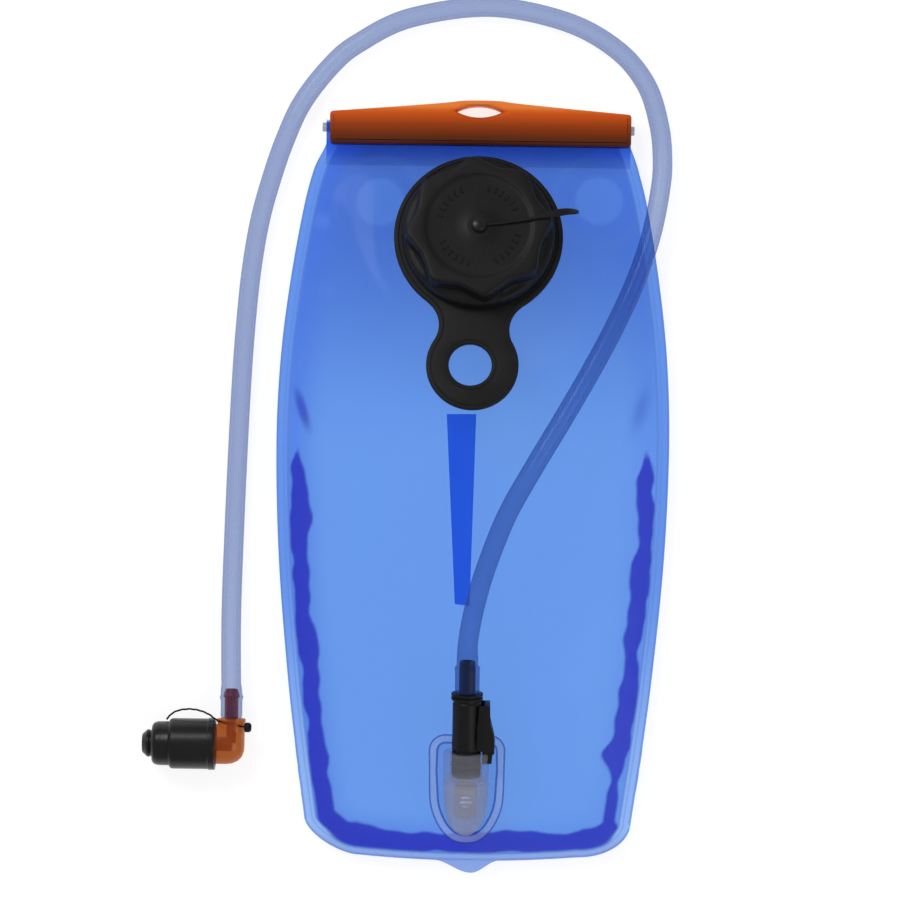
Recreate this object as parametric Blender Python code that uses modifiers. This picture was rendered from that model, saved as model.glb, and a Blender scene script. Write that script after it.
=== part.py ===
"""Hydration bladder: a slide-seal water bag with its drinking tube, as separate pieces.

Metres, +Z up. The bag lies on its back film, +Y points to the slide bar, X = 0 is the
bag's middle. Positions along the filler port and the outlet are given in two tilted
frames, because the puffed front film slopes under both.
"""
import math

import bmesh
import bpy
from mathutils import Matrix, Vector

MM = 0.001
GAP = 0.3                     # clearance between touching pieces, in mm

# Bag, in mm
HALF_HEIGHT = 185.4
FILM = 0.4                    # film thickness
WELD = 5.5                    # width of the welded border
PUFF = 16.0                   # rise of the front film above the seam
BAR_MID_Z = 6.2               # middle plane of the slide bar
RAIL_Y = 172.0
RAIL_R = 2.2
MOUTH_Y = 164.0               # lower edge of the slide bar
WIDTHS = [(-160, 78.2), (-130, 82.5), (-92, 87.2), (-35, 92.3), (20, 94.2), (61, 92.7),
          (99, 88.4), (137, 81.9), (156.5, 76.7), (164, 74.2)]

# Filler port
PORT_AT = (1.3, 119.0, 18.1)
PORT_TILT = -14.0
DISC_R = 40.3
DISC_T = 3.0
HANDLE_TURN = -2.0             # degrees, moves the finger loop a little left
NECK_R = 27.0
NECK_BORE = 24.8
CAP_CORNER_R = 35.4
CAP_SIDE_R = 30.9
CAP_TOP = 20.5
THREAD_PITCH = 5.0

# Outlet and connector
OUTLET_AT = (-1.2, -145.0, 14.9)
OUTLET_TILT = 10.0
AXIS_H = 8.5                  # height of the plug's axis above the weld flange
BULLET_R = 10.9
PLUG_BORE = 7.6

# Mouthpiece
MOUTH_AT = (-113.8, -112.2, 12.4)

# Drinking tube
TUBE_R = 4.75
TUBE_ROUTE = [(-1.2, -96.9, 32.0), (-1.2, -89.5, 33.3), (-1.3, -81.5, 34.7), (-1.0, -72.0, 35.6),
              (1.6, -57.0, 34.6), (6.9, -38.0, 31.8), (16.5, -13.0, 30.4), (29.3, 10.5, 29.7),
              (41.9, 32.0, 28.4), (54.7, 54.5, 25.5), (67.0, 78.0, 20.9), (77.2, 101.0, 16.2),
              (84.0, 122.0, 13.6), (88.1, 143.0, 10.2), (89.2, 158.0, 7.4), (87.4, 175.5, 5.4),
              (80.8, 194.9, 4.85), (66.3, 211.5, 4.85), (41.5, 224.5, 4.85), (5.0, 230.9, 4.85),
              (-33.3, 225.0, 4.85), (-57.4, 212.8, 4.85), (-70.1, 202.2, 4.85),
              (-84.0, 184.0, 4.85), (-92.6, 164.8, 4.85), (-98.9, 145.5, 4.85),
              (-103.9, 126.0, 4.85), (-107.5, 103.0, 4.85), (-109.8, 78.0, 4.85),
              (-111.5, 50.0, 4.85), (-113.0, 12.0, 4.9), (-114.1, -25.0, 5.6),
              (-114.7, -60.0, 8.4), (-114.3, -88.0, 11.4), (-113.8, -103.0, 12.4),
              (-113.8, -111.9, 12.4)]


def main_collection(name):
    found = bpy.data.collections.new(name)
    bpy.context.scene.collection.children.link(found)
    return found


def clear_scene():
    for obj in list(bpy.data.objects):
        bpy.data.objects.remove(obj, do_unlink=True)


def material(name, colour, roughness, metallic=0.0, alpha=1.0):
    made = bpy.data.materials.new(name)
    made.use_nodes = True
    shader = made.node_tree.nodes["Principled BSDF"]
    shader.inputs["Base Color"].default_value = (*colour, 1.0)
    shader.inputs["Roughness"].default_value = roughness
    shader.inputs["Metallic"].default_value = metallic
    shader.inputs["Alpha"].default_value = alpha
    made.diffuse_color = (*colour, alpha)
    return made


def frame_empty(name, at, tilt=0.0):
    empty = bpy.data.objects.new(name, None)
    empty.location = Vector(at) * MM
    empty.rotation_euler = (math.radians(tilt), 0.0, 0.0)
    PARTS.objects.link(empty)
    return empty


def from_bmesh(name, bm, mat, parent=None, cutter=False):
    bmesh.ops.remove_doubles(bm, verts=bm.verts, dist=1e-5)
    bmesh.ops.recalc_face_normals(bm, faces=bm.faces)
    mesh = bpy.data.meshes.new(name)
    bm.to_mesh(mesh)
    bm.free()
    obj = bpy.data.objects.new(name, mesh)
    if mat is not None:
        mesh.materials.append(mat)
    (CUTTERS if cutter else PARTS).objects.link(obj)
    obj.parent = parent
    if cutter:
        obj.hide_render = True
        obj.display_type = "WIRE"
    return obj


def axis_matrix(axis, at):
    """Local lathe axis (its +Z) laid along X, Y or Z, through the point at (mm)."""
    turn = {"X": Matrix.Rotation(math.radians(90), 4, "Y"),
            "Y": Matrix.Rotation(math.radians(-90), 4, "X"),
            "Z": Matrix.Identity(4)}[axis]
    return Matrix.Translation(Vector(at) * MM) @ turn


def lathe(name, profile, steps, mat, parent=None, axis="Z", at=(0, 0, 0), cutter=False):
    """Closed (radius, height) profile in mm turned round the axis."""
    bm = bmesh.new()
    place = axis_matrix(axis, at)
    rings = []
    for radius, height in profile:
        if radius < 1e-6:
            rings.append([bm.verts.new(place @ Vector((0, 0, height * MM)))] * steps)
            continue
        ring = []
        for k in range(steps):
            a = 2 * math.pi * k / steps
            point = Vector((radius * MM * math.cos(a), radius * MM * math.sin(a), height * MM))
            ring.append(bm.verts.new(place @ point))
        rings.append(ring)
    for i in range(len(rings)):
        low, high = rings[i], rings[(i + 1) % len(rings)]
        for k in range(steps):
            corners = [low[k], low[(k + 1) % steps], high[(k + 1) % steps], high[k]]
            unique = list(dict.fromkeys(corners))
            if len(unique) > 2:
                bm.faces.new(unique)
    return from_bmesh(name, bm, mat, parent, cutter)


def prism(name, outline, z0, z1, mat, parent=None, cutter=False, bevel=0.0, plane="XY"):
    """Flat outline (mm) given a thickness from z0 to z1; plane XZ extrudes along Y."""
    def place(a, b, c):
        return Vector((a, b, c)) * MM if plane == "XY" else Vector((a, c, b)) * MM
    bm = bmesh.new()
    low = [bm.verts.new(place(x, y, z0)) for x, y in outline]
    high = [bm.verts.new(place(x, y, z1)) for x, y in outline]
    bm.faces.new(low)
    bm.faces.new(high)
    count = len(outline)
    for i in range(count):
        bm.faces.new([low[i], low[(i + 1) % count], high[(i + 1) % count], high[i]])
    obj = from_bmesh(name, bm, mat, parent, cutter)
    if bevel:
        round_edges(obj, bevel)
    return obj


def round_edges(obj, width, segments=2, angle=40):
    mod = obj.modifiers.new("rounded", "BEVEL")
    mod.width = width * MM
    mod.segments = segments
    mod.limit_method = "ANGLE"
    mod.angle_limit = math.radians(angle)
    return mod


def arc(cx, cy, radius, start, end, count):
    points = []
    for i in range(count + 1):
        a = math.radians(start + (end - start) * i / count)
        points.append((cx + radius * math.cos(a), cy + radius * math.sin(a)))
    return points


def box(name, lo, hi, parent=None, mat=None, cutter=True):
    outline = [(lo[0], lo[1]), (hi[0], lo[1]), (hi[0], hi[1]), (lo[0], hi[1])]
    return prism(name, outline, lo[2], hi[2], mat, parent, cutter)


def combine(target, tool, operation):
    mod = target.modifiers.new(tool.name, "BOOLEAN")
    mod.operation = operation
    mod.solver = "EXACT"
    mod.object = tool


def cut(target, tool):
    combine(target, tool, "DIFFERENCE")


def join(target, tool):
    combine(target, tool, "UNION")


def smooth_route(points, per_span):
    """Catmull-Rom points through the hand-chosen route."""
    out = []
    for i in range(len(points) - 1):
        p0 = Vector(points[max(i - 1, 0)])
        p1 = Vector(points[i])
        p2 = Vector(points[i + 1])
        p3 = Vector(points[min(i + 2, len(points) - 1)])
        for k in range(per_span):
            t = k / per_span
            out.append(0.5 * (2 * p1 + (p2 - p0) * t + (2 * p0 - 5 * p1 + 4 * p2 - p3) * t * t
                              + (3 * p1 - p0 - 3 * p2 + p3) * t ** 3))
    out.append(Vector(points[-1]))
    return out


def rod(name, points, radius, mat, parent=None, cutter=False, sides=2):
    """Round rod through the points (mm), as a mesh with closed ends."""
    curve = bpy.data.curves.new(name, "CURVE")
    curve.dimensions = "3D"
    curve.bevel_depth = radius * MM
    curve.bevel_resolution = sides
    curve.use_fill_caps = True
    spline = curve.splines.new("POLY")
    spline.points.add(len(points) - 1)
    for target, point in zip(spline.points, points):
        target.co = (*(Vector(point) * MM), 1.0)
    holder = bpy.data.objects.new(name, curve)
    PARTS.objects.link(holder)
    bpy.context.view_layer.update()
    evaluated = holder.evaluated_get(bpy.context.evaluated_depsgraph_get())
    mesh = bpy.data.meshes.new_from_object(evaluated)
    bpy.data.objects.remove(holder, do_unlink=True)
    bm = bmesh.new()
    bm.from_mesh(mesh)
    bpy.data.meshes.remove(mesh)
    return from_bmesh(name, bm, mat, parent, cutter)


def coil(name, radius, wire, start, length, turns, mat, parent, axis, per_turn=10):
    """Coil spring with its axis along X or Y from the point start (mm)."""
    points = []
    count = int(turns * per_turn)
    for i in range(count + 1):
        a = 2 * math.pi * i / per_turn
        along = length * i / count
        side = (radius * math.cos(a), radius * math.sin(a))
        if axis == "X":
            offset = Vector((along, side[0], side[1]))
        else:
            offset = Vector((side[0], along, side[1]))
        points.append(Vector(start) + offset)
    return rod(name, points, wire, mat, parent, sides=0)


def half_width(y):
    """Half the bag's width at the height y, in mm."""
    table = WIDTHS
    if y <= table[0][0]:
        return table[0][1]
    if y >= table[-1][0]:
        return table[-1][1]
    for i in range(len(table) - 1):
        if table[i][0] <= y <= table[i + 1][0]:
            before = table[max(i - 1, 0)]
            after = table[min(i + 2, len(table) - 1)]
            span = table[i + 1][0] - table[i][0]
            t = (y - table[i][0]) / span
            m0 = (table[i + 1][1] - before[1]) / (table[i + 1][0] - before[0]) * span
            m1 = (after[1] - table[i][1]) / (after[0] - table[i][0]) * span
            return ((2 * t ** 3 - 3 * t ** 2 + 1) * table[i][1] + (t ** 3 - 2 * t ** 2 + t) * m0
                    + (3 * t ** 2 - 2 * t ** 3) * table[i + 1][1] + (t ** 3 - t ** 2) * m1)
    return table[-1][1]


def bottom_edge(x):
    """Lower edge of the bag, with round corners and a tab under the outlet."""
    far = abs(x)
    if far > 62.0:
        across = min((far - 62.0) / 16.2, 1.0)
        return -160.0 - 16.0 * math.sqrt(max(1.0 - across * across, 0.0))
    edge = -176.0 - 3.2 * (1.0 - (far / 62.0) ** 2)
    if far < 26.0:
        edge -= 3.1 * (1.0 + math.cos(math.pi * far / 26.0))
    return edge


def ramp(value, start, end):
    t = min(max((value - start) / (end - start), 0.0), 1.0)
    return t * t * (3.0 - 2.0 * t)


def seam_height(y):
    """Height of the weld's middle plane above the table."""
    top = BAR_MID_Z + 0.9
    return 9.0 - (9.0 - top) * ramp(y, 70.0, 154.0) - 0.8 * ramp(-y, 130.0, 176.0)


def port_plane(y):
    """Middle of the front film under the port's disc."""
    tilt = math.radians(-PORT_TILT)
    return PORT_AT[2] - 0.5 / math.cos(tilt) - (y - PORT_AT[1]) * math.tan(tilt)


def outlet_plane(y):
    """Middle of the front film under the outlet's flange."""
    tilt = math.radians(OUTLET_TILT)
    return OUTLET_AT[2] - 0.5 / math.cos(tilt) + (y - OUTLET_AT[1]) * math.tan(tilt)


def bulge(x, y, side_power, top_power, bottom_power):
    """0 at the inner edge of the weld, 1 in the middle of the bag."""
    across = min(abs(x) / (half_width(y) - WELD), 1.0)
    if y > 0:
        along = 1.0 - min(y / 160.0, 1.0) ** top_power
    else:
        along = 1.0 - min(-y / 172.0, 1.0) ** bottom_power
    return (1.0 - across ** side_power) * along


def front_height(x, y):
    height = seam_height(y) + 0.35 + PUFF * bulge(x, y, 2.6, 2.4, 3.2)
    from_disc = max(math.hypot(x - PORT_AT[0], (y - PORT_AT[1]) / 0.97) - DISC_R, 0.0)
    share = 1.0 - ramp(from_disc, 7.0, 34.0)
    height += (port_plane(y) - height) * share * (1.0 if y < 161 else 0.0)
    beside = max(abs(x - OUTLET_AT[0] - 0.4) - 18.6, 0.0)
    beyond = max(y + 117.0, -171.2 - y, 0.0)
    share = 1.0 - ramp(math.hypot(beside, beyond), 5.0, 26.0)
    if y < -171.5:
        share *= ramp(y, -176.0, -171.5)
    height += (outlet_plane(y) - height) * share
    return height


def back_height(x, y):
    low = 0.2
    rise = seam_height(y) - 0.35 - low
    if y > 0:
        along = 1.0 - ramp(y, 70.0, 152.0)
    else:
        along = 1.0 - min(-y / 172.0, 1.0) ** 9
    across = min(abs(x) / (half_width(y) - WELD), 1.0)
    return low + rise * (1.0 - (1.0 - across ** 8) * along)


def fold_path(radius, offset):
    """(y, height above the bar's middle) of one film round the rail and back down."""
    join_at = RAIL_Y - math.sqrt(radius ** 2 - offset ** 2)
    lean = math.degrees(math.asin(offset / radius))
    path = [(join_at, offset)]
    path += arc(RAIL_Y, 0.0, radius, 180 - lean, -180 + lean, 8)[1:]
    path += [(join_at - 2.5, -offset), (154.0, -offset)]
    return path


def film_sheet(name, mat, height, fold_radius, fold_offset):
    """One sheet of the bag with its folded top, given its thickness both ways."""
    columns = [0, 0.12, 0.28, 0.46, 0.64, 0.82, 0.93, 1.0]
    columns = [-u for u in reversed(columns[1:])] + columns
    rows = [-178, -171.5, -163, -150, -136, -122, -108, -90, -70, -50, -30, -10, 10, 30, 46, 60,
            72, 84, 98, 112, 126, 140, 150, 158.5, 164]
    bm = bmesh.new()
    grid = []
    for row in rows:
        line = []
        for u in columns:
            ease = 1.0 - ramp(row, rows[0], -112.0)
            y = row + (bottom_edge(u * 78.2) - rows[0]) * ease
            x = u * half_width(y)
            if row > 150:
                x += 0.8 * ramp(row, 150, 164)
            z = height(x, y) if row < 164 else BAR_MID_Z + fold_offset
            line.append(bm.verts.new(Vector((x, y, z)) * MM))
        grid.append(line)
    for y, lift in fold_path(fold_radius, fold_offset):
        line = []
        for u in columns:
            x = 0.8 + u * half_width(164)
            line.append(bm.verts.new(Vector((x, y, BAR_MID_Z + lift)) * MM))
        grid.append(line)
    for low, high in zip(grid, grid[1:]):
        for k in range(len(columns) - 1):
            bm.faces.new([low[k], low[k + 1], high[k + 1], high[k]])
    sheet = from_bmesh(name, bm, mat)
    thick = sheet.modifiers.new("thickness", "SOLIDIFY")
    thick.thickness = FILM * MM
    thick.offset = 0.0
    return sheet


def make_films():
    front = film_sheet("front_film", FILM_BLUE, front_height, 3.4, 1.25)
    film_sheet("back_film", FILM_BLUE, back_height, 2.7, 0.55)
    mouth = lathe("neck_hole", [(0, -8), (NECK_R + GAP, -8), (NECK_R + GAP, 8), (0, 8)], 32, None,
                  PORT, cutter=True)
    cut(front, mouth)
    drain = lathe("drain_hole", [(0, -3), (3.6, -3), (3.6, 2), (0, 2)], 16, None, OUTLET,
                  at=(0, -5, 0), cutter=True)
    cut(front, drain)


def make_baffle():
    """Z-shaped strip: lower flange on the back film, upper flange under the front film."""
    bm = bmesh.new()
    rows = []
    for y, left, right in ((-57.0, -6.7, 1.1), (-11.0, -10.0, 0.8), (35.0, -13.3, 0.4)):
        low = 0.4 + GAP
        high = min(front_height(right, y), front_height(right + 4.0, y)) - 0.2 - GAP - 0.25
        outline = [(left - 4.0, low), (left + 0.3, low), (right + 0.3, high - 0.5),
                   (right + 4.0, high - 0.5), (right + 4.0, high), (right - 0.1, high),
                   (left - 0.1, low + 0.5), (left - 4.0, low + 0.5)]
        rows.append([bm.verts.new(Vector((x, y, z)) * MM) for x, z in outline])
    for low_row, high_row in zip(rows, rows[1:]):
        for k in range(8):
            bm.faces.new([low_row[k], low_row[(k + 1) % 8], high_row[(k + 1) % 8], high_row[k]])
    bm.faces.new(rows[0])
    bm.faces.new(rows[-1])
    from_bmesh("baffle_web", bm, FILM_DEEP)


def make_slide_bar():
    left, right, middle = -70.6, 73.9, 1.7
    outline = [(left, MOUTH_Y), (right, MOUTH_Y), (right, 179.6)]
    for x, y in ((40, 182.2), (18, 184.2), (10, 185.2), (1.0, HALF_HEIGHT), (-8, 185.2),
                 (-16, 184.2), (-38, 182.2)):
        outline.append((middle + x - 0.7, y))
    outline.append((left, 179.6))
    bar = prism("slide_bar", outline, 0.0, 2 * BAR_MID_Z, ORANGE)
    bore = lathe("rail_bore", [(0, -90), (3.9, -90), (3.9, 90), (0, 90)], 24, None,
                 axis="X", at=(0, RAIL_Y, BAR_MID_Z), cutter=True)
    slot = box("film_slot", (-90, MOUTH_Y - 4, BAR_MID_Z - 1.75), (90, RAIL_Y, BAR_MID_Z + 1.75))
    lens = arc(1.0, 180.0 - 20.8, 23.6, 61.5, 118.5, 8)[:-1]
    lens += arc(1.0, 180.0 + 20.8, 23.6, 241.5, 298.5, 8)[:-1]
    hanging = prism("hanging_hole", lens, -5, 20, None, cutter=True)
    round_edges(bar, 2.2, 3, 60)
    cut(bar, bore)
    cut(bar, slot)
    cut(bar, hanging)
    lathe("seal_rail", [(0, -74.2), (RAIL_R - 0.4, -74.2), (RAIL_R, -73.6), (RAIL_R, 75.0),
                        (RAIL_R - 0.4, 75.6), (0, 75.6)], 16, FROSTED, axis="X",
          at=(0, RAIL_Y, BAR_MID_Z))


def turned_flat(x, y):
    """The point turned round the port's axis, as the handle is."""
    a = math.radians(HANDLE_TURN)
    return x * math.cos(a) - y * math.sin(a), x * math.sin(a) + y * math.cos(a)


def make_filler_port():
    neck = lathe("port_neck", [(NECK_BORE, -2.2), (37.0, -2.2), (37.0, -1.0), (NECK_R, -1.0),
                               (NECK_R, 14.0), (NECK_R - 0.5, 14.5), (NECK_BORE, 14.5)], 36,
                 FROSTED, PORT)
    join(neck, thread_ridge("neck_thread", NECK_R, 1.3, 7.2))
    fillet = 14.0
    reach = -63.4
    side_x, side_y = 30.75, -44.9
    to_disc = math.degrees(math.atan2(side_y, side_x))
    to_loop = math.degrees(math.atan2(side_y - reach, side_x))
    right = arc(side_x, side_y, fillet, 180 + to_disc, 180 + to_loop, 5)
    outline = arc(0, 0, DISC_R, 180 - to_disc, to_disc, 30)
    outline += right[1:-1]
    outline += arc(0, reach, 21.9, to_loop, -180 - to_loop, 14)
    outline += [(-x, y) for x, y in reversed(right[1:-1])]
    handle = prism("port_handle", [turned_flat(*point) for point in outline], 0, DISC_T, BLACK,
                   PORT)
    round_edges(handle, 0.6, 1, 60)
    cut(handle, lathe("disc_hole", [(0, -5), (NECK_R + GAP, -5), (NECK_R + GAP, 9), (0, 9)], 36,
                      None, PORT, cutter=True))
    finger = lathe("finger_hole", [(0, -5), (10.2, -5), (10.2, 0.4), (9.8, 0.9), (9.8, 2.1),
                                   (10.2, 2.6), (10.2, 9), (0, 9)], 24, None, PORT,
                   at=(*turned_flat(-1.0, reach), 0), cutter=True)
    cut(handle, finger)
    lathe("tether_ring", [(NECK_R + GAP, 3.4), (30.2, 3.4), (30.2, 4.8), (NECK_R + GAP, 4.8)],
          32, BLACK, PORT)


def thread_ridge(name, radius, depth, start, turns=1.25, steps=24):
    """Helical ridge standing outwards (depth > 0) or inwards from the radius."""
    bm = bmesh.new()
    rings = []
    count = int(turns * steps)
    root = radius - 0.4 * math.copysign(1, depth)
    for i in range(count + 1):
        a = 2 * math.pi * i / steps
        mid = start + THREAD_PITCH * i / steps
        fade = min(1.0, i / 3.0, (count - i) / 3.0)
        crest = radius + depth * max(fade, 0.15)
        ring = []
        for r, z in ((root, mid - 1.1), (crest, mid - 0.4), (crest, mid + 0.4), (root, mid + 1.1)):
            ring.append(bm.verts.new(Vector((r * math.cos(a), r * math.sin(a), z)) * MM))
        rings.append(ring)
    for low, high in zip(rings, rings[1:]):
        for k in range(4):
            bm.faces.new([low[k], low[(k + 1) % 4], high[(k + 1) % 4], high[k]])
    bm.faces.new(rings[0])
    bm.faces.new(rings[-1])
    return from_bmesh(name, bm, None, PORT, cutter=True)


def cap_outline(corner, side, count=6):
    points = []
    for k in range(8):
        for i in range(count):
            t = i / count
            a = math.radians(6.0 + 45.0 * (k + t))
            dip = 1.0 - abs(2.0 * t - 1.0) ** 1.15
            radius = corner * math.cos(math.radians(22.5)) / math.cos(
                math.radians(22.5 - 45.0 * t)) - (corner * 0.924 - side) * dip
            points.append((radius * math.cos(a), radius * math.sin(a)))
    return points


def make_cap():
    cap = prism("screw_cap", cap_outline(CAP_CORNER_R, CAP_SIDE_R), 9.5, CAP_TOP, BLACK, PORT)
    round_edges(cap, 1.2, 2, 60)
    skirt = lathe("cap_skirt", [(0, 5.4), (36.2, 5.4), (36.6, 6.0), (36.0, 9.8), (33.8, 11.4),
                                (0, 11.4)], 36, None, PORT, cutter=True)
    join(cap, skirt)
    bore = lathe("cap_bore", [(0, 0), (29.2, 0), (29.2, 16.9), (0, 16.9)], 36, None, PORT,
                 cutter=True)
    cut(cap, bore)
    dish = lathe("cap_dish", [(0, 19.9), (24.5, 19.9), (25.6, 22.6), (0, 22.6)], 36, None, PORT,
                 cutter=True)
    cut(cap, dish)
    stem = lathe("button_hole", [(0, 15), (1.9, 15), (1.9, 24), (0, 24)], 16, None, PORT,
                 cutter=True)
    cut(cap, stem)
    join(cap, thread_ridge("cap_thread", 29.2, -1.5, 7.2 + THREAD_PITCH / 2, turns=0.75))
    lathe("cap_gasket", [(24.2, 14.8), (28.6, 14.8), (28.6, 16.6), (24.2, 16.6)], 32, RUBBER,
          PORT)


def ribbon(name, points, width, thick, mat, parent):
    """Flat strap through the points (mm), its width lying level."""
    bm = bmesh.new()
    rings = []
    for i, point in enumerate(points):
        here = Vector(point)
        ahead = Vector(points[min(i + 1, len(points) - 1)]) - Vector(points[max(i - 1, 0)])
        ahead.normalize()
        side = Vector((-0.26, 0.97, 0.0)).normalized()
        side = (side - ahead * side.dot(ahead)).normalized()
        up = ahead.cross(side)
        ring = []
        for a, b in ((-1, -1), (1, -1), (1, 1), (-1, 1)):
            corner = here + side * (a * width / 2) + up * (b * thick / 2)
            ring.append(bm.verts.new(corner * MM))
        rings.append(ring)
    for low, high in zip(rings, rings[1:]):
        for k in range(4):
            bm.faces.new([low[k], low[(k + 1) % 4], high[(k + 1) % 4], high[k]])
    bm.faces.new(rings[0])
    bm.faces.new(rings[-1])
    return from_bmesh(name, bm, mat, parent)


def make_button_and_strap():
    lathe("swivel_button", [(0, 15.5), (2.5, 15.5), (2.7, 16.0), (2.6, 16.6), (1.6, 16.6),
                            (1.6, 21.6), (3.5, 21.6), (3.5, 22.1), (2.9, 22.8), (0, 23.1)],
          16, BLACK, PORT)
    route = [(2.4, 0.2, 20.75), (12.0, 1.2, 20.9), (24.0, 3.2, 21.4), (33.0, 5.2, 21.5),
             (38.0, 6.4, 21.0), (42.5, 7.4, 19.0), (45.6, 8.1, 15.8), (47.0, 8.4, 12.0),
             (46.4, 8.5, 8.4), (44.0, 8.4, 5.6), (40.0, 8.0, 4.3), (35.0, 7.4, 4.1),
             (29.6, 6.6, 4.1)]
    fine = smooth_route(route, 2)
    strap = ribbon("cap_tether", fine, 2.6, 0.9, BLACK, PORT)
    eye = lathe("strap_eye", [(1.9, 20.3), (3.4, 20.3), (3.4, 21.2), (1.9, 21.2)], 16, None,
                PORT, cutter=True)
    join(strap, eye)
    shaft = lathe("strap_clear", [(0, 20.0), (1.9, 20.0), (1.9, 22.0), (0, 22.0)], 16, None, PORT,
                  cutter=True)
    cut(strap, shaft)
    ring = lathe("ring_clear", [(0, 2.0), (30.5, 2.0), (30.5, 6.0), (0, 6.0)], 32, None, PORT,
                 cutter=True)
    cut(strap, ring)


def make_outlet():
    shield = arc(10.7, 19.9, 7.9, 0, 90, 5) + arc(-9.9, 19.9, 7.9, 90, 180, 5)
    shield += [(-17.6, -4), (-16.4, -11), (-13.6, -17.5), (-9.4, -22), (-4.4, -24.9), (0.4, -25.7),
               (5.2, -24.9), (10.2, -22), (14.4, -17.5), (17.2, -11), (18.4, -4)]
    port = prism("outlet_port", shield, 0.0, 1.6, FROSTED, OUTLET)
    bullet = lathe("bullet", [(0, -19.6), (3.0, -19.0), (6.0, -16.6), (8.6, -12.2), (10.1, -6),
                              (10.7, 2), (10.9, 12), (10.9, 21.0), (10.4, 21.5), (0, 21.5)], 24,
                   None, OUTLET, axis="Y", at=(0, 0, AXIS_H), cutter=True)
    join(port, bullet)
    cut(port, box("below", (-30, -40, -10), (30, 40, 0), OUTLET))
    cut(port, lathe("water_way", [(0, -10), (5.4, -10), (5.4, 5.2), (3.4, 5.2), (3.4, 7.2),
                                  (PLUG_BORE, 7.2), (PLUG_BORE, 30), (0, 30)], 24, None, OUTLET,
                    axis="Y", at=(0, 0, AXIS_H), cutter=True))
    cut(port, lathe("drop", [(0, -3), (3.0, -3), (3.0, AXIS_H), (0, AXIS_H)], 16, None, OUTLET,
                    at=(0, -5, 0), cutter=True))
    cut(port, box("latch_notch", (6.0, 15.6, AXIS_H - 4.0), (16, 24, AXIS_H + 4.0), OUTLET))
    lathe("outlet_poppet", [(0, 1.6), (4.2, 1.6), (4.6, 2.0), (4.6, 3.2), (4.0, 3.6), (1.4, 3.6),
                            (1.4, 8.1), (3.0, 8.1), (3.0, 9.2), (0, 9.2)], 24, WHITE, OUTLET,
          axis="Y", at=(0, 0, AXIS_H))
    coil("poppet_spring", 3.3, 0.35, (0, -9.3, AXIS_H), 10.3, 4.5, STEEL, OUTLET, "Y", 9)


def make_connector():
    at = (0, 0, AXIS_H)
    body = lathe("connector_body", [(2.5, 9.5), (6.5, 9.5), (6.9, 9.9), (6.9, 14.0), (5.5, 14.0),
                                    (5.5, 16.4), (6.9, 16.4), (6.9, 21.8), (6.5, 22.0),
                                    (6.8, 22.6), (6.8, 45.2), (6.3, 46.0), (6.3, 47.0),
                                    (7.55, 47.0), (7.55, 48.1), (6.6, 48.3), (6.6, 48.8),
                                    (7.55, 49.0), (7.55, 50.0), (3.3, 50.0), (3.3, 60.0),
                                    (3.9, 60.3), (3.9, 61.2), (2.9, 65.5), (2.4, 65.5)],
                 20, BLACK, OUTLET, axis="Y", at=at)
    for z0, z1 in ((-5.0, -3.8), (3.8, 5.0)):
        ear = [(3.6, 26.5), (9.6, 26.5)] + arc(9.5, 30.0, 2.2, -60, 90, 5) + [(3.6, 33.0)]
        join(body, prism("ear", ear, AXIS_H + z0, AXIS_H + z1, None, OUTLET, cutter=True))
    hole = lathe("pin_hole", [(0, -7), (1.2, -7), (1.2, 7), (0, 7)], 12, None, OUTLET,
                 at=(9.5, 30.0, AXIS_H), cutter=True)
    cut(body, hole)
    pocket = lathe("spring_pocket", [(0, 3.6), (1.7, 3.6), (1.7, 9.2), (0, 9.2)], 12, None,
                   OUTLET, axis="X", at=(0, 41.0, AXIS_H), cutter=True)
    cut(body, pocket)
    outline = [(7.6, 16.3), (12.0, 16.3), (12.4, 20.5), (13.3, 21.5), (13.4, 28.0), (12.6, 31.5),
               (11.0, 37.0), (10.8, 45.0), (8.4, 45.0), (8.4, 34.0), (7.3, 31.0), (7.3, 22.4),
               (7.6, 22.0)]
    latch = prism("release_latch", outline, AXIS_H - 3.4, AXIS_H + 3.4, BLACK, OUTLET)
    join(latch, box("thumb_pad", (8.5, 35.0, AXIS_H - 6.0), (11.0, 45.2, AXIS_H + 6.0), OUTLET))
    for z0, z1 in ((-6.3, -5.3), (5.3, 6.3)):
        cheek = [(6.1, 23.5), (12.9, 21.5), (13.4, 28.0), (12.6, 31.5), (11.2, 37.0),
                 (10.9, 45.1), (6.1, 45.1)]
        join(latch, prism("cheek", cheek, AXIS_H + z0, AXIS_H + z1, None, OUTLET, cutter=True))
    cut(latch, hole)
    cut(latch, pocket)
    lathe("latch_pin", [(0, -4.9), (0.9, -4.9), (0.9, 4.9), (0, 4.9)], 12, STEEL, OUTLET,
          at=(9.5, 30.0, AXIS_H))
    coil("latch_spring", 1.05, 0.22, (3.9, 41.0, AXIS_H), 3.9, 5, STEEL, OUTLET, "X", 8)
    lathe("plug_oring", torus_profile(6.55, 0.75, 15.2), 24, RUBBER, OUTLET, axis="Y", at=at)


def torus_profile(major, minor, middle, sides=6):
    points = []
    for k in range(sides):
        a = 2 * math.pi * k / sides
        points.append((major + minor * math.cos(a), middle + minor * math.sin(a)))
    return points


def make_tube():
    tube = rod("drinking_tube", smooth_route(TUBE_ROUTE, 2), TUBE_R, TUBE_BLUE)
    socket = [(0, 45.0), (3.6, 45.0), (3.6, 59.8), (4.2, 60.0), (4.2, 61.4), (3.2, 65.9),
              (0, 65.9)]
    cut(tube, lathe("lower_socket", socket, 24, None, OUTLET, axis="Y", at=(0, 0, AXIS_H),
                    cutter=True))
    socket = [(0, -3.0), (3.6, -3.0), (3.6, 9.7), (4.2, 9.9), (4.2, 11.1), (3.2, 14.6),
              (0, 14.6)]
    cut(tube, lathe("upper_socket", socket, 24, None, MOUTH, axis="Y", cutter=True))


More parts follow.
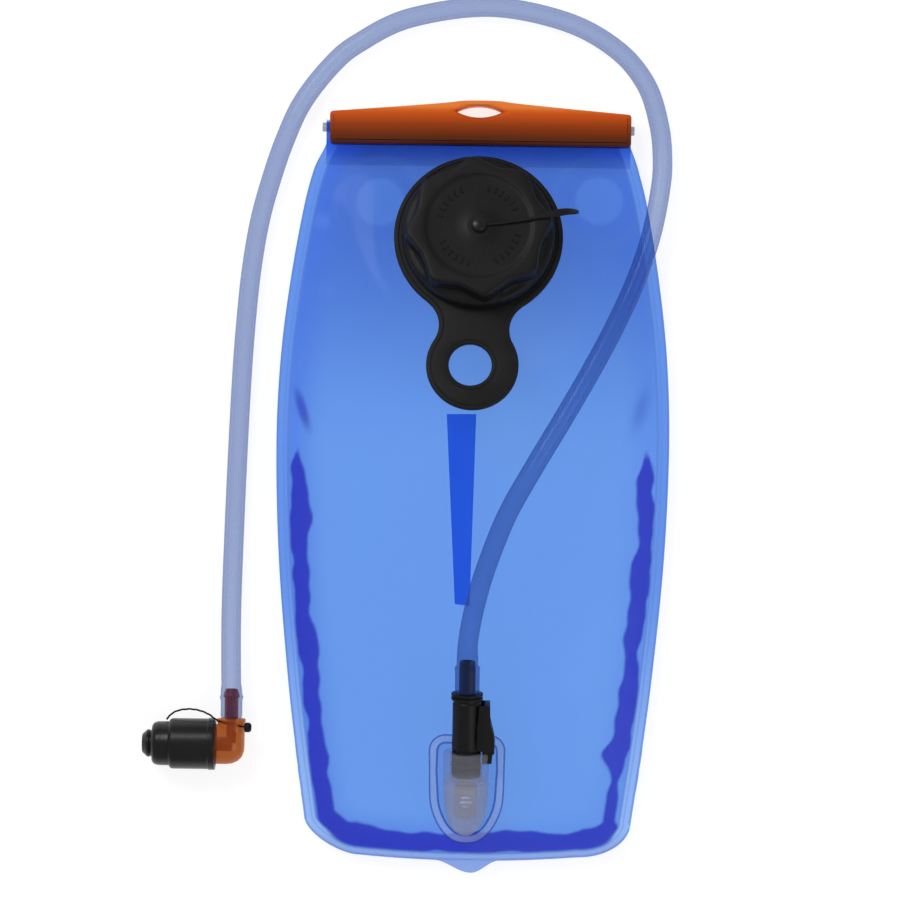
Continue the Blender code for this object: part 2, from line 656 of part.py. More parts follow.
def make_mouthpiece():
    valve = (0, -12.3, 0)
    elbow = lathe("elbow", [(0, -10.9), (6.5, -10.9), (6.5, -2.0), (6.9, -1.6), (6.9, -0.4),
                            (6.5, 0.0), (3.3, 0.0), (3.3, 9.9), (3.9, 10.2), (3.9, 10.9),
                            (2.9, 14.2), (0, 14.2)], 28, ORANGE, MOUTH, axis="Y")
    join(elbow, lathe("elbow_arm", [(0, -17.0), (5.6, -17.0), (5.6, -14.2), (4.6, -14.2),
                                    (4.6, -12.6), (5.6, -12.6), (5.6, -9.1), (9.2, -9.1),
                                    (9.6, -8.7), (9.6, -2.0), (9.2, 0.8), (8.0, 3.4), (6.0, 5.3),
                                    (3.4, 6.3), (0, 6.5)], 26, None, MOUTH, axis="X", at=valve,
                      cutter=True))
    cut(elbow, lathe("down_bore", [(0, -11.6), (2.3, -11.6), (2.3, 20), (0, 20)], 12, None, MOUTH,
                     axis="Y", cutter=True))
    cut(elbow, lathe("side_bore", [(0, -22), (3.4, -22), (3.4, 0.6), (0, 2.2)], 16, None, MOUTH,
                     axis="X", at=valve, cutter=True))
    channel = rod("cord_channel", [(-12, 0.1, 4.4), (12, -4.8, 4.4)], 0.85, None, MOUTH, True, 1)
    cut(elbow, channel)
    knob = lathe("tether_knob", [(0, 6.4), (1.5, 6.4), (2.1, 7.0), (2.1, 8.3), (1.3, 9.2),
                                 (0, 9.3)], 16, BLACK, MOUTH, axis="X", at=(0, -3.9, 4.4))
    cut(knob, lathe("knob_socket", [(0, 5), (0.8, 5), (0.8, 8.0), (0, 8.0)], 12, None, MOUTH,
                    axis="X", at=(0, -3.85, 4.4), cutter=True))
    route = [(7.5, -3.88, 4.4), (3.6, -3.1, 4.4), (0.0, -2.35, 4.4), (-4.0, -1.55, 4.4),
             (-7.0, -0.4, 4.2), (-10.5, 2.0, 3.4), (-15.0, 3.7, 2.2), (-20.0, 4.3, 1.2),
             (-25.0, 3.6, 0.5), (-28.6, 1.8, 0.1), (-31.0, -0.9, 0.0)]
    rod("shield_tether", smooth_route(route, 2), 0.42, BLACK, MOUTH, sides=0)
    lathe("core_oring", torus_profile(5.45, 0.5, -13.4), 24, RUBBER, MOUTH, axis="X", at=valve)
    lathe("valve_core", [(6.3, -9.6), (8.1, -9.6), (8.1, -20.0), (2.6, -20.0), (2.6, -17.8),
                         (6.3, -17.8)], 24, WHITE, MOUTH, axis="X", at=valve)
    bite = lathe("bite_valve", [(8.4, -11.0), (9.9, -11.0), (9.9, -19.0), (7.8, -22.0),
                                (6.8, -29.0), (7.6, -33.0), (6.4, -35.4), (0, -36.0), (0, -34.2),
                                (4.6, -33.4), (4.4, -23.0), (8.4, -20.3)], 24, SILICONE, MOUTH,
                 axis="X", at=valve)
    for vert in bite.data.vertices:
        flat = ramp(-vert.co.x / MM, 20.5, 27.0)
        vert.co.z *= 1.0 - 0.3 * flat
    lathe("dirt_shield", [(10.6, -7.5), (12.0, -7.5), (12.3, -7.9), (12.3, -28.2), (11.8, -29.0),
                          (10.5, -29.3), (10.5, -35.4), (9.3, -37.5), (6.2, -37.8),
                          (6.2, -40.6), (4.4, -42.4), (0, -42.6), (0, -36.6), (8.6, -36.4),
                          (8.9, -36.0), (8.9, -28.8), (10.6, -27.8)], 24, BLACK, MOUTH,
          axis="X", at=valve)


clear_scene()
PARTS = main_collection("hydration_bladder")
CUTTERS = main_collection("cutters")
FILM_BLUE = material("film_blue", (0.12, 0.32, 0.85), 0.25, alpha=0.6)
FILM_DEEP = material("film_deep", (0.04, 0.16, 0.75), 0.3, alpha=0.8)
ORANGE = material("orange", (0.75, 0.2, 0.03), 0.4)
BLACK = material("black", (0.02, 0.02, 0.022), 0.45)
FROSTED = material("frosted", (0.75, 0.77, 0.82), 0.5, alpha=0.7)
TUBE_BLUE = material("tube_blue", (0.3, 0.4, 0.68), 0.3, alpha=0.7)
RUBBER = material("rubber", (0.03, 0.03, 0.03), 0.7)
WHITE = material("white_plastic", (0.8, 0.8, 0.8), 0.4)
SILICONE = material("silicone", (0.6, 0.65, 0.7), 0.5)
STEEL = material("steel", (0.6, 0.6, 0.6), 0.3, metallic=1.0)
PORT = frame_empty("port_frame", PORT_AT, PORT_TILT)
OUTLET = frame_empty("outlet_frame", OUTLET_AT, OUTLET_TILT)
MOUTH = frame_empty("mouthpiece_frame", MOUTH_AT)
bpy.context.view_layer.update()
make_films()
make_baffle()
make_slide_bar()
make_filler_port()
make_cap()
make_button_and_strap()
make_outlet()
make_connector()
make_tube()
make_mouthpiece()
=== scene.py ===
"""Looks of the hydration bladder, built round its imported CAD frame.

A slide-seal bag of clear blue film lies on a pale floor. Lengths are in millimetres and
turned into metres where meshes are made. The filler port, the outlet and the mouthpiece
are built in frames of their own, as their parts are in the CAD model.
"""

import math

import bmesh
import bpy
import numpy as np
from mathutils import Matrix, Vector, noise


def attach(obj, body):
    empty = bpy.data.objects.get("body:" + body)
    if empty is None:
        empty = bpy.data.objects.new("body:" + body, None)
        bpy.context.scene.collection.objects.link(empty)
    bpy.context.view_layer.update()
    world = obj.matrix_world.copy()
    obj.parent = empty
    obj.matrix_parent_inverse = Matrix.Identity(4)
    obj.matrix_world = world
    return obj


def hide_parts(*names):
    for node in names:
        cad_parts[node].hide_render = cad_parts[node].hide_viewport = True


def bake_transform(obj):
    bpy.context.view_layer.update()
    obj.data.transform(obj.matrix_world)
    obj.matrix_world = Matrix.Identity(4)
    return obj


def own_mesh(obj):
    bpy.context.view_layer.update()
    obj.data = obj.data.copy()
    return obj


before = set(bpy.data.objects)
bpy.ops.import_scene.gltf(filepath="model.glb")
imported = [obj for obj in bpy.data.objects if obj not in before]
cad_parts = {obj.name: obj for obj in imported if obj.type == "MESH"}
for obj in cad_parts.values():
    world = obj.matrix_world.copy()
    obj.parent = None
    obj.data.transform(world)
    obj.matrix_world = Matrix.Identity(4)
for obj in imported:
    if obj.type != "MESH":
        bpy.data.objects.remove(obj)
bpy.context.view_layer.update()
scene = bpy.context.scene

MM = 0.001


def tilted(at, degrees):
    return Matrix.Translation(Vector(at) * MM) @ Matrix.Rotation(math.radians(degrees), 4, "X")


PORT_AT = (1.3, 119.0, 18.1)
PORT_TILT = -14.0
OUTLET_AT = (-1.2, -145.0, 14.9)
OUTLET_TILT = 10.0
MOUTH_AT = (-113.8, -112.2, 12.4)
AXIS_H = 8.5
PORT = tilted(PORT_AT, PORT_TILT)
OUTLET = tilted(OUTLET_AT, OUTLET_TILT)
MOUTH = tilted(MOUTH_AT, 0.0)
WORLD = Matrix.Identity(4)


def link_object(name, data):
    obj = bpy.data.objects.new(name, data)
    scene.collection.objects.link(obj)
    return obj


def set_inputs(node, **values):
    """Sets a shader node's sockets by name, with _ for each space."""
    for key, value in values.items():
        node.inputs[key.replace("_", " ")].default_value = value


# ---------------- camera and light

ROLL = 0.79
DISTANCE = 1.75
VIEW_WIDTH = 0.4302
CAMERA_AT = (-0.0109, 0.0177)
BAG_HEIGHT = 0.015
FLOOR_Z = -0.0006
WHITE = (1.0, 1.0, 1.0, 1.0)


def make_camera():
    data = bpy.data.cameras.new("camera")
    data.sensor_width = 36.0
    data.lens = 36.0 * DISTANCE / VIEW_WIDTH
    data.clip_start = 0.05
    data.clip_end = 20.0
    camera = link_object("camera", data)
    camera.location = (*CAMERA_AT, BAG_HEIGHT + DISTANCE)
    camera.rotation_euler = (0.0, 0.0, math.radians(ROLL))
    scene.camera = camera


def area_light(name, at, size, power):
    """Round soft light aimed at the origin."""
    data = bpy.data.lights.new(name, "AREA")
    data.shape = "DISK"
    data.size = size
    data.energy = power
    light = link_object(name, data)
    light.location = at
    light.rotation_euler = (-Vector(at)).to_track_quat("-Z", "Y").to_euler()


def make_stage():
    mesh = bpy.data.meshes.new("floor")
    corners = [(x, y, FLOOR_Z) for x, y in ((-3, -3), (3, -3), (3, 3), (-3, 3))]
    mesh.from_pydata(corners, [], [(0, 1, 2, 3)])
    floor = link_object("floor", mesh)
    pale, _, shader = shader_material("pale_floor", 0.9, 0.0)
    set_inputs(shader, Base_Color=(0.36, 0.36, 0.36, 1.0), Emission_Color=WHITE,
               Emission_Strength=0.8)
    mesh.materials.append(pale)
    world = bpy.data.worlds.new("studio")
    world.use_nodes = True
    set_inputs(world.node_tree.nodes["Background"], Color=WHITE, Strength=0.42)
    scene.world = world
    area_light("key", (-0.7, 0.9, 1.3), 0.7, 9.0)
    area_light("fill", (1.0, -0.6, 1.2), 0.9, 4.0)
    scene.view_settings.view_transform = "Standard"
    scene.cycles.transparent_max_bounces = 32


# ---------------- drinking tube route

TUBE_R = 4.75
TUBE_ROUTE = [
    (-0.0012, -0.0969, 0.0320), (-0.0012, -0.0895, 0.0333), (-0.0013, -0.0815, 0.0347),
    (-0.0010, -0.0720, 0.0356), (0.0016, -0.0570, 0.0346), (0.0069, -0.0380, 0.0318),
    (0.0165, -0.0130, 0.0304), (0.0293, 0.0105, 0.0297), (0.0419, 0.0320, 0.0284),
    (0.0547, 0.0545, 0.0255), (0.0670, 0.0780, 0.0209), (0.0772, 0.1010, 0.0162),
    (0.0840, 0.1220, 0.0136), (0.0881, 0.1430, 0.0102), (0.0892, 0.1580, 0.0074),
    (0.0874, 0.1755, 0.0054), (0.0808, 0.1949, 0.00485), (0.0663, 0.2115, 0.00485),
    (0.0415, 0.2245, 0.00485), (0.0050, 0.2309, 0.00485), (-0.0333, 0.2250, 0.00485),
    (-0.0574, 0.2128, 0.00485), (-0.0701, 0.2022, 0.00485), (-0.0840, 0.1840, 0.00485),
    (-0.0926, 0.1648, 0.00485), (-0.0989, 0.1455, 0.00485), (-0.1039, 0.1260, 0.00485),
    (-0.1075, 0.1030, 0.00485), (-0.1098, 0.0780, 0.00485), (-0.1115, 0.0500, 0.00485),
    (-0.1130, 0.0120, 0.0049), (-0.1141, -0.0250, 0.0056), (-0.1147, -0.0600, 0.0084),
    (-0.1143, -0.0880, 0.0114), (-0.1138, -0.1030, 0.0124), (-0.1138, -0.1119, 0.0124)]


def catmull(points, per_span):
    """Smooth line through the points."""
    out = []
    for i in range(len(points) - 1):
        p0, p1 = Vector(points[max(i - 1, 0)]), Vector(points[i])
        p2, p3 = Vector(points[i + 1]), Vector(points[min(i + 2, len(points) - 1)])
        for k in range(per_span):
            t = k / per_span
            out.append(0.5 * (2 * p1 + (p2 - p0) * t + (2 * p0 - 5 * p1 + 4 * p2 - p3) * t * t
                              + (3 * p1 - p0 - 3 * p2 + p3) * t ** 3))
    out.append(Vector(points[-1]))
    return out


def lengths_along(line):
    """How far along the line each of its points is."""
    at = [0.0]
    for a, b in zip(line, line[1:]):
        at.append(at[-1] + (b - a).length)
    return at


def spaced(points, step):
    """The same line with points an even distance apart."""
    at = lengths_along(points)
    count = max(int(at[-1] / step), 2)
    coords = np.array([tuple(p) for p in points])
    want = np.linspace(0.0, at[-1], count + 1)
    return [Vector([float(np.interp(w, at, coords[:, k])) for k in range(3)]) for w in want]


def ahead_of(line, i):
    return (line[min(i + 1, len(line) - 1)] - line[max(i - 1, 0)]).normalized()


def square_to(ahead, side):
    """The side direction made square to the way ahead, and the up direction."""
    side = (side - ahead * side.dot(ahead)).normalized()
    return side, ahead.cross(side)


def untwisted(line, first_side):
    """Side and up directions at every point, carried along without twist."""
    frames = []
    side = Vector(first_side)
    for i in range(len(line)):
        side, up = square_to(ahead_of(line, i), side)
        frames.append((side, up))
    return frames


# ---------------- mesh helpers


def new_object(name, mesh, material, smooth=True, sharp=40.0):
    obj = link_object(name, mesh)
    if material is not None:
        mesh.materials.clear()
        mesh.materials.append(material)
    if smooth:
        shade_smooth(mesh, sharp)
    return obj


def shade_smooth(mesh, sharp):
    mesh.polygons.foreach_set("use_smooth", [True] * len(mesh.polygons))
    mesh.set_sharp_from_angle(angle=math.radians(sharp))


def from_bm(name, bm, material, matrix=WORLD, smooth=True, sharp=40.0):
    bmesh.ops.remove_doubles(bm, verts=bm.verts, dist=1e-6)
    bmesh.ops.recalc_face_normals(bm, faces=bm.faces)
    mesh = bpy.data.meshes.new(name)
    bm.to_mesh(mesh)
    bm.free()
    mesh.transform(matrix)
    return new_object(name, mesh, material, smooth, sharp)


def loft(bm, rings, closed=True, capped=False, endless=False):
    """Faces between rows of points. closed joins each row's end to its start, capped fills
    the two ends and endless joins the last row to the first."""
    pairs = list(zip(rings, rings[1:]))
    if endless:
        pairs.append((rings[-1], rings[0]))
    for low, high in pairs:
        count = len(low)
        for k in range(count if closed else count - 1):
            n = (k + 1) % count
            corners = list(dict.fromkeys([low[k], low[n], high[n], high[k]]))
            if len(corners) > 2:
                bm.faces.new(corners)
    if capped:
        bm.faces.new(rings[0])
        bm.faces.new(rings[-1])


def skin(name, rings, material, matrix=WORLD, sharp=40.0, **joins):
    """Mesh over rows of points in mm, joined as loft says. Equal points share a vertex."""
    bm = bmesh.new()
    rows = []
    for ring in rings:
        made = {p: bm.verts.new(Vector(p) * MM) for p in dict.fromkeys(map(tuple, ring))}
        rows.append([made[tuple(p)] for p in ring])
    loft(bm, rows, **joins)
    return from_bm(name, bm, material, matrix, sharp=sharp)


def swept(name, line, frames, section, material, matrix=WORLD, sharp=40.0):
    """Closed skin along a line; section(i) gives the offsets to the side and up."""
    rings = [[line[i] + side * a + up * b for a, b in section(i)]
             for i, (side, up) in enumerate(frames)]
    return skin(name, rings, material, matrix, sharp, capped=True)


def cord_mesh(name, points, radius, material, matrix=WORLD, sides=12, twist=0.0):
    """Round cord through the points, closed at both ends; twist gives it plies."""
    line = spaced([Vector(p) for p in points], 0.5)

    def section(i):
        for k in range(sides):
            a = 2 * math.pi * k / sides
            r = radius * (1.0 + 0.10 * twist * math.cos(3 * a + i * 0.9))
            yield r * math.cos(a), r * math.sin(a)

    return swept(name, line, untwisted(line, (0.3, 0.2, 0.93)), section, material, matrix, 50)


def evaluated_mesh(obj):
    bpy.context.view_layer.update()
    shown = obj.evaluated_get(bpy.context.evaluated_depsgraph_get())
    return bpy.data.meshes.new_from_object(shown)


def settle(obj):
    """Applies an object's modifiers to its mesh."""
    mesh = evaluated_mesh(obj)
    obj.modifiers.clear()
    obj.data = mesh
    return obj


def thicken(obj, thickness, offset):
    made = obj.modifiers.new("thickness", "SOLIDIFY")
    made.thickness = thickness * MM
    made.offset = offset
    return settle(obj)


def combine(obj, operation, *tools):
    """Booleans the tools with the object and removes them."""
    for tool in tools:
        mod = obj.modifiers.new("combine", "BOOLEAN")
        mod.operation = operation
        mod.solver = "EXACT"
        mod.object = tool
    settle(obj)
    for tool in tools:
        bpy.data.objects.remove(tool, do_unlink=True)


def cut(obj, *tools):
    combine(obj, "DIFFERENCE", *tools)
    shade_smooth(obj.data, 35)


def merge(name, objects, material):
    """Several meshes as one object."""
    bm = bmesh.new()
    for obj in objects:
        bm.from_mesh(obj.data)
        bpy.data.objects.remove(obj, do_unlink=True)
    mesh = bpy.data.meshes.new(name)
    bm.to_mesh(mesh)
    bm.free()
    mesh.materials.append(material)
    return link_object(name, mesh)


def give(obj, slot, body, *nodes):
    """Hides the CAD nodes that the piece stands for and attaches it to the body it rides. slot is
    not used.
    """
    if nodes:
        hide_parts(*nodes)
    if body:
        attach(obj, body)


def softened(profile, radius, count=3):
    """The closed profile with its corners rounded; points on the axis stay."""
    out = []
    total = len(profile)
    for i in range(total):
        here = Vector(profile[i])
        before, after = Vector(profile[i - 1]), Vector(profile[(i + 1) % total])
        into, away = here - before, after - here
        on_axis = profile[i][0] < 1e-6 or into.length < 1e-6 or away.length < 1e-6
        if on_axis or into.angle(away) < math.radians(14):
            out.append(tuple(here))
            continue
        start = here - into.normalized() * min(radius, into.length * 0.42)
        end = here + away.normalized() * min(radius, away.length * 0.42)
        for k in range(count + 1):
            t = k / count
            out.append(tuple(start * (1 - t) ** 2 + here * 2 * t * (1 - t) + end * t * t))
    return out


def turned(name, profile, material, matrix=WORLD, axis="Z", at=(0, 0, 0), steps=72, soft=0.3,
           shape=None, sharp=40.0):
    """Closed (radius, height) profile turned round an axis. shape(row, angle) may give the
    radius instead, for lobes and flutes."""
    if soft:
        profile = softened(profile, soft)

    def point(radius, angle, height):
        a, b = radius * math.cos(angle), radius * math.sin(angle)
        place = {"X": (height, a, b), "Y": (a, height, b), "Z": (a, b, height)}[axis]
        return Vector(at) + Vector(place)

    angles = [2 * math.pi * k / steps for k in range(steps)]
    rings = [[point(shape(row, a) if shape else radius, a, height) for a in angles]
             for row, (radius, height) in enumerate(profile)]
    return skin(name, rings, material, matrix, sharp, endless=True)


def plate(name, outlines, z0, z1, material, matrix=WORLD, soft=0.6, fine=3, sharp=35.0):
    """Flat plate with rounded edges. The first outline is its edge, the others are holes."""
    curve = bpy.data.curves.new(name, "CURVE")
    curve.dimensions = "2D"
    curve.fill_mode = "BOTH"
    for outline in outlines:
        spline = curve.splines.new("POLY")
        spline.points.add(len(outline) - 1)
        for point, (x, y) in zip(spline.points, outline):
            point.co = (x * MM, y * MM, 0.0, 1.0)
        spline.use_cyclic_u = True
    curve.bevel_depth = soft * MM
    curve.bevel_resolution = fine
    curve.extrude = ((z1 - z0) / 2 - soft) * MM
    curve.offset = -soft * MM
    holder = link_object(name, curve)
    mesh = evaluated_mesh(holder)
    bpy.data.objects.remove(holder, do_unlink=True)
    bm = bmesh.new()
    bm.from_mesh(mesh)
    bpy.data.meshes.remove(mesh)
    lift = Matrix.Translation((0, 0, (z0 + z1) / 2 * MM))
    return from_bm(name, bm, material, matrix @ lift, sharp=sharp)


def blocks(name, boxes, material=None, matrix=WORLD):
    """Plain boxes, each given by its lowest and highest corners."""
    bm = bmesh.new()
    for lo, hi in boxes:
        for v in bmesh.ops.create_cube(bm, size=1.0)["verts"]:
            v.co = Vector([(lo[k] + (v.co[k] + 0.5) * (hi[k] - lo[k])) * MM for k in range(3)])
    return from_bm(name, bm, material, matrix, smooth=False)


def drum(name, radius, low, high, matrix, axis="Z", at=(0, 0, 0), steps=64):
    """Plain round cutter."""
    return turned(name, [(0, low), (radius, low), (radius, high), (0, high)], None, matrix, axis,
                  at, steps, soft=0)


def arc(cx, cy, radius, start, end, count):
    angles = [math.radians(start + (end - start) * i / count) for i in range(count + 1)]
    return [(cx + radius * math.cos(a), cy + radius * math.sin(a)) for a in angles]


def smooth_outline(points):
    """A finer run of flat points through the given ones."""
    return [(p.x, p.y) for p in catmull([(x, y, 0.0) for x, y in points], 6)]


# ---------------- materials


def shader_material(name, roughness, specular=0.5):
    made = bpy.data.materials.new(name)
    made.use_nodes = True
    tree = made.node_tree
    shader = tree.nodes["Principled BSDF"]
    set_inputs(shader, Roughness=roughness, Specular_IOR_Level=specular)
    return made, tree, shader


def wire(tree, *links):
    """Joins sockets, each link given as (node, output, node, input)."""
    for source, out, target, into in links:
        tree.links.new(source.outputs[out], target.inputs[into])


def add_grain(tree, shader, scale, strength):
    """Fine surface grain in the object's own space."""
    coords = tree.nodes.new("ShaderNodeTexCoord")
    grain = tree.nodes.new("ShaderNodeTexNoise")
    set_inputs(grain, Scale=scale, Detail=4.0)
    bump = tree.nodes.new("ShaderNodeBump")
    set_inputs(bump, Strength=strength, Distance=0.0002)
    wire(tree, (coords, "Object", grain, "Vector"), (grain, "Fac", bump, "Height"),
         (bump, "Normal", shader, "Normal"))
    return coords


def tone_ramp(tree, stops):
    tones = tree.nodes.new("ShaderNodeValToRGB")
    for position, _ in stops[2:]:
        tones.color_ramp.elements.new(position)
    for element, (position, colour) in zip(tones.color_ramp.elements, stops):
        element.position = position
        element.color = (*colour, 1.0)
    return tones


def along_y(tree, start, end):
    """0 to 1 along the object's Y between two places in metres."""
    coords = tree.nodes.new("ShaderNodeTexCoord")
    split = tree.nodes.new("ShaderNodeSeparateXYZ")
    spread = tree.nodes.new("ShaderNodeMapRange")
    set_inputs(spread, From_Min=start, From_Max=end)
    wire(tree, (coords, "Object", split, "Vector"), (split, "Y", spread, "Value"))
    return spread


def solid_plastic(name, low, high, roughness, specular=0.5, grain=900.0, strength=0.25):
    """Moulded plastic or rubber with fine grain, its colour wandering between two tones."""
    made, tree, shader = shader_material(name, roughness, specular)
    coords = add_grain(tree, shader, grain, strength)
    patches = tree.nodes.new("ShaderNodeTexNoise")
    set_inputs(patches, Scale=60.0, Detail=3.0)
    tones = tone_ramp(tree, [(0.35, low), (0.65, high)])
    wire(tree, (coords, "Object", patches, "Vector"), (patches, "Fac", tones, "Fac"),
         (tones, "Color", shader, "Base Color"))
    return made


def clear_mix(name, body, tint, share, roughness, specular=0.4, grain=0.0, attribute=None,
              edge=0.0, clearer=None):
    """Clear tinted plastic: a see-through tint with a share of shaded body colour over it.
    attribute names a colour attribute that holds the tint. edge adds gloss at grazing view.
    clearer is two places along Y and the share that the body colour falls to between them."""
    made, tree, shader = shader_material(name, roughness, specular)
    set_inputs(shader, Base_Color=(*body, 1.0))
    if grain:
        add_grain(tree, shader, grain, 0.2)
    clear = tree.nodes.new("ShaderNodeBsdfTransparent")
    set_inputs(clear, Color=(*tint, 1.0))
    mix = tree.nodes.new("ShaderNodeMixShader")
    set_inputs(mix, Fac=share)
    if attribute:
        source = tree.nodes.new("ShaderNodeAttribute")
        source.attribute_name = attribute
        wire(tree, (source, "Color", clear, "Color"))
    if edge:
        rim = tree.nodes.new("ShaderNodeLayerWeight")
        set_inputs(rim, Blend=0.4)
        scaled = tree.nodes.new("ShaderNodeMath")
        scaled.operation = "MULTIPLY_ADD"
        scaled.inputs[1].default_value = edge
        scaled.inputs[2].default_value = share
        scaled.use_clamp = True
        wire(tree, (rim, "Facing", scaled, 0), (scaled, "Value", mix, "Fac"))
    if clearer:
        fade = along_y(tree, *clearer[:2])
        set_inputs(fade, To_Min=share, To_Max=clearer[2])
        wire(tree, (fade, "Result", mix, "Fac"))
    output = tree.nodes["Material Output"]
    wire(tree, (clear, "BSDF", mix, 1), (shader, "BSDF", mix, 2),
         (mix, "Shader", output, "Surface"))
    return made


def painted_glow_bar_material():
    """Orange plastic with painted light: its colour is painted from dark brown shade low on the
    bar to a bright glow at its upper edge.
    """
    made, tree, shader = shader_material("orange_bar_painted_glow", 0.42, 0.15)
    add_grain(tree, shader, 700.0, 0.2)
    # Painted glow and shade: the colour ramp runs along Y, dark low on the bar and bright at its
    # top edge.
    height = along_y(tree, 0.164, 0.185)
    tones = tone_ramp(tree, [
        (0.1, (0.11, 0.022, 0.008)), (0.18, (0.155, 0.025, 0.001)),
        (0.31, (0.25, 0.035, 0.001)), (0.45, (0.36, 0.05, 0.001)),
        (0.585, (0.55, 0.073, 0.003)), (0.72, (0.73, 0.105, 0.006)),
        (0.79, (0.84, 0.155, 0.012)), (0.857, (0.99, 0.25, 0.04))])
    wire(tree, (height, "Result", tones, "Fac"), (tones, "Color", shader, "Base Color"))
    return made


def steel_material():
    made, tree, shader = shader_material("steel", 0.3)
    set_inputs(shader, Metallic=1.0, Base_Color=(0.6, 0.6, 0.6, 1.0))
    add_grain(tree, shader, 2200.0, 0.2)
    return made


# Name, body colour, see-through tint, share of body colour, roughness, specular, grain.
CLEAR = {
    "web": ("film_deep", (0.01, 0.06, 0.72), (0.34, 0.56, 0.95), 0.12, 0.3),
    "bore": ("tube_bore", (0.10, 0.18, 0.50), (0.96, 0.97, 0.985), 0.03, 0.12, 0.5),
    "frosted": ("frosted", (0.42, 0.43, 0.50), (0.86, 0.88, 0.94), 0.55, 0.4, 0.4, 500.0),
    "weld_lip": ("weld_lip", (0.56, 0.68, 1.0), (0.97, 0.98, 1.0), 0.25, 0.35),
    "weld_line": ("weld_line", (0.04, 0.10, 0.50), (0.7, 0.8, 0.95), 0.3, 0.35),
    "port_clear": ("port_clear", (0.16, 0.26, 0.62), (0.93, 0.94, 0.97), 0.05, 0.3),
    "orange": ("orange", (0.40, 0.085, 0.012), (0.90, 0.50, 0.22), 0.5, 0.3, 0.45, 600.0),
    "silicone": ("silicone", (0.58, 0.63, 0.7), (0.85, 0.88, 0.92), 0.6, 0.45, 0.4, 400.0)}

# Name, darker and lighter tone, roughness, specular, grain, strength of the grain.
SOLID = {
    "black": ("black", (0.006, 0.006, 0.0065), (0.009, 0.009, 0.010), 0.42, 0.18, 1100.0, 0.3),
    "black_soft": ("black_soft", (0.006, 0.006, 0.007), (0.010, 0.010, 0.011), 0.5, 0.2, 800.0,
                   0.3),
    "cover": ("black_cover", (0.006, 0.006, 0.007), (0.010, 0.010, 0.011), 0.28, 0.28, 900.0,
              0.2),
    "rubber": ("rubber", (0.018, 0.018, 0.018), (0.03, 0.03, 0.03), 0.75, 0.3, 1500.0, 0.4),
    "white": ("white_plastic", (0.72, 0.72, 0.70), (0.8, 0.8, 0.78), 0.4)}


def make_materials():
    mats = {key: clear_mix(*values) for key, values in CLEAR.items()}
    mats.update((key, solid_plastic(*values)) for key, values in SOLID.items())
    mats["film"] = clear_mix("film_blue", (0.06, 0.16, 0.80), (0.7, 0.85, 1.0), 0.07, 0.16, 0.5,
                             160.0, attribute="film_tint")
    mats["tube"] = clear_mix("tube_blue", (0.05, 0.13, 0.50), (0.685, 0.74, 0.86), 0.10, 0.12,
                             0.5, edge=0.5)
    mats["housing"] = clear_mix("frosted_housing", (0.45, 0.46, 0.53), (0.92, 0.93, 0.97), 0.43,
                                0.4, 0.3, 500.0, clearer=(-0.142, -0.135, 0.16))
    mats["bar"] = painted_glow_bar_material()
    mats["steel"] = steel_material()
    return mats


# ---------------- the bag's shape

HALF_TOP = 164.0
TAB_X = 1.8
WELD = 5.5
PUFF = 16.0
FILM = 0.4
SURFACES = 4
GRID_COLUMNS = 257
DISC_MARKS = ((-46.0, 136.0), (59.0, 138.0))
FOLD_TINT = (0.25, 0.45, 1.0)
FOLD_WIDTH = 0.985
FOLD_SHIFT = 0.8
BAR_MID_Z = 6.2
RAIL_Y = 172.0
DISC_R = 40.3
CORNER_Y = -160.0
CORNER_X = 53.0
CORNER_HALF = 78.2
LOWEST_ROW = -178.0
COARSE_FROM = -158.0
WIDTHS = [(CORNER_Y, CORNER_HALF), (-130, 82.5), (-92, 87.2), (-35, 92.3), (20, 94.2),
          (61, 92.7), (99, 88.4), (137, 81.9), (156.5, 76.7), (HALF_TOP, 74.2)]


def width_table():
    """The bag's half width at every half millimetre, eased between the WIDTHS."""
    ys, ws = [], []
    for i in range(len(WIDTHS) - 1):
        (y0, w0), (y1, w1) = WIDTHS[i], WIDTHS[i + 1]
        ya, wa = WIDTHS[max(i - 1, 0)]
        yb, wb = WIDTHS[min(i + 2, len(WIDTHS) - 1)]
        span = y1 - y0
        m0, m1 = (w1 - wa) / (y1 - ya) * span, (wb - w0) / (yb - y0) * span
        for t in np.linspace(0, 1, int(span * 2), endpoint=False):
            ys.append(y0 + t * span)
            ws.append((2 * t ** 3 - 3 * t ** 2 + 1) * w0 + (t ** 3 - 2 * t ** 2 + t) * m0
                      + (3 * t ** 2 - 2 * t ** 3) * w1 + (t ** 3 - t ** 2) * m1)
    ys.append(WIDTHS[-1][0])
    ws.append(WIDTHS[-1][1])
    return np.array(ys), np.array(ws)


WIDTH_YS, WIDTH_WS = width_table()


def half_width(y):
    return np.interp(y, WIDTH_YS, WIDTH_WS)


def ramp(value, start, end):
    """Smooth step from 0 at start to 1 at end."""
    t = np.clip((value - start) / (end - start), 0.0, 1.0)
    return t * t * (3.0 - 2.0 * t)


def hump(value, middle, spread, power=2):
    """1 at the middle, falling to nothing over the spread."""
    return np.exp(-((value - middle) / spread) ** power)


def bottom_edge(x, tab=2.9):
    """Lower edge of the bag: cut corners and a blunt tab in the middle."""
    far = np.abs(x)
    power = np.where(x < 0, 1.5, 2.0)
    across = np.clip((far - CORNER_X) / (CORNER_HALF - CORNER_X), 0.0, 1.0)
    corner = CORNER_Y - 16.9 * (1.0 - across ** power) ** (1.0 / power)
    edge = -176.0 - 3.2 * (1.0 - (far / 62.0) ** 2)
    beside = np.minimum(np.abs(x - TAB_X) / np.where(x < TAB_X, 18.0, 13.5), 1.0)
    edge = edge - tab * (1.0 + np.cos(np.pi * beside))
    return np.where(far > CORNER_X, corner, edge)


def seam_height(y):
    """Height of the weld's middle plane above the table."""
    return 9.0 - (8.1 - BAR_MID_Z) * ramp(y, 70.0, 154.0) - 0.8 * ramp(-y, 130.0, 176.0)


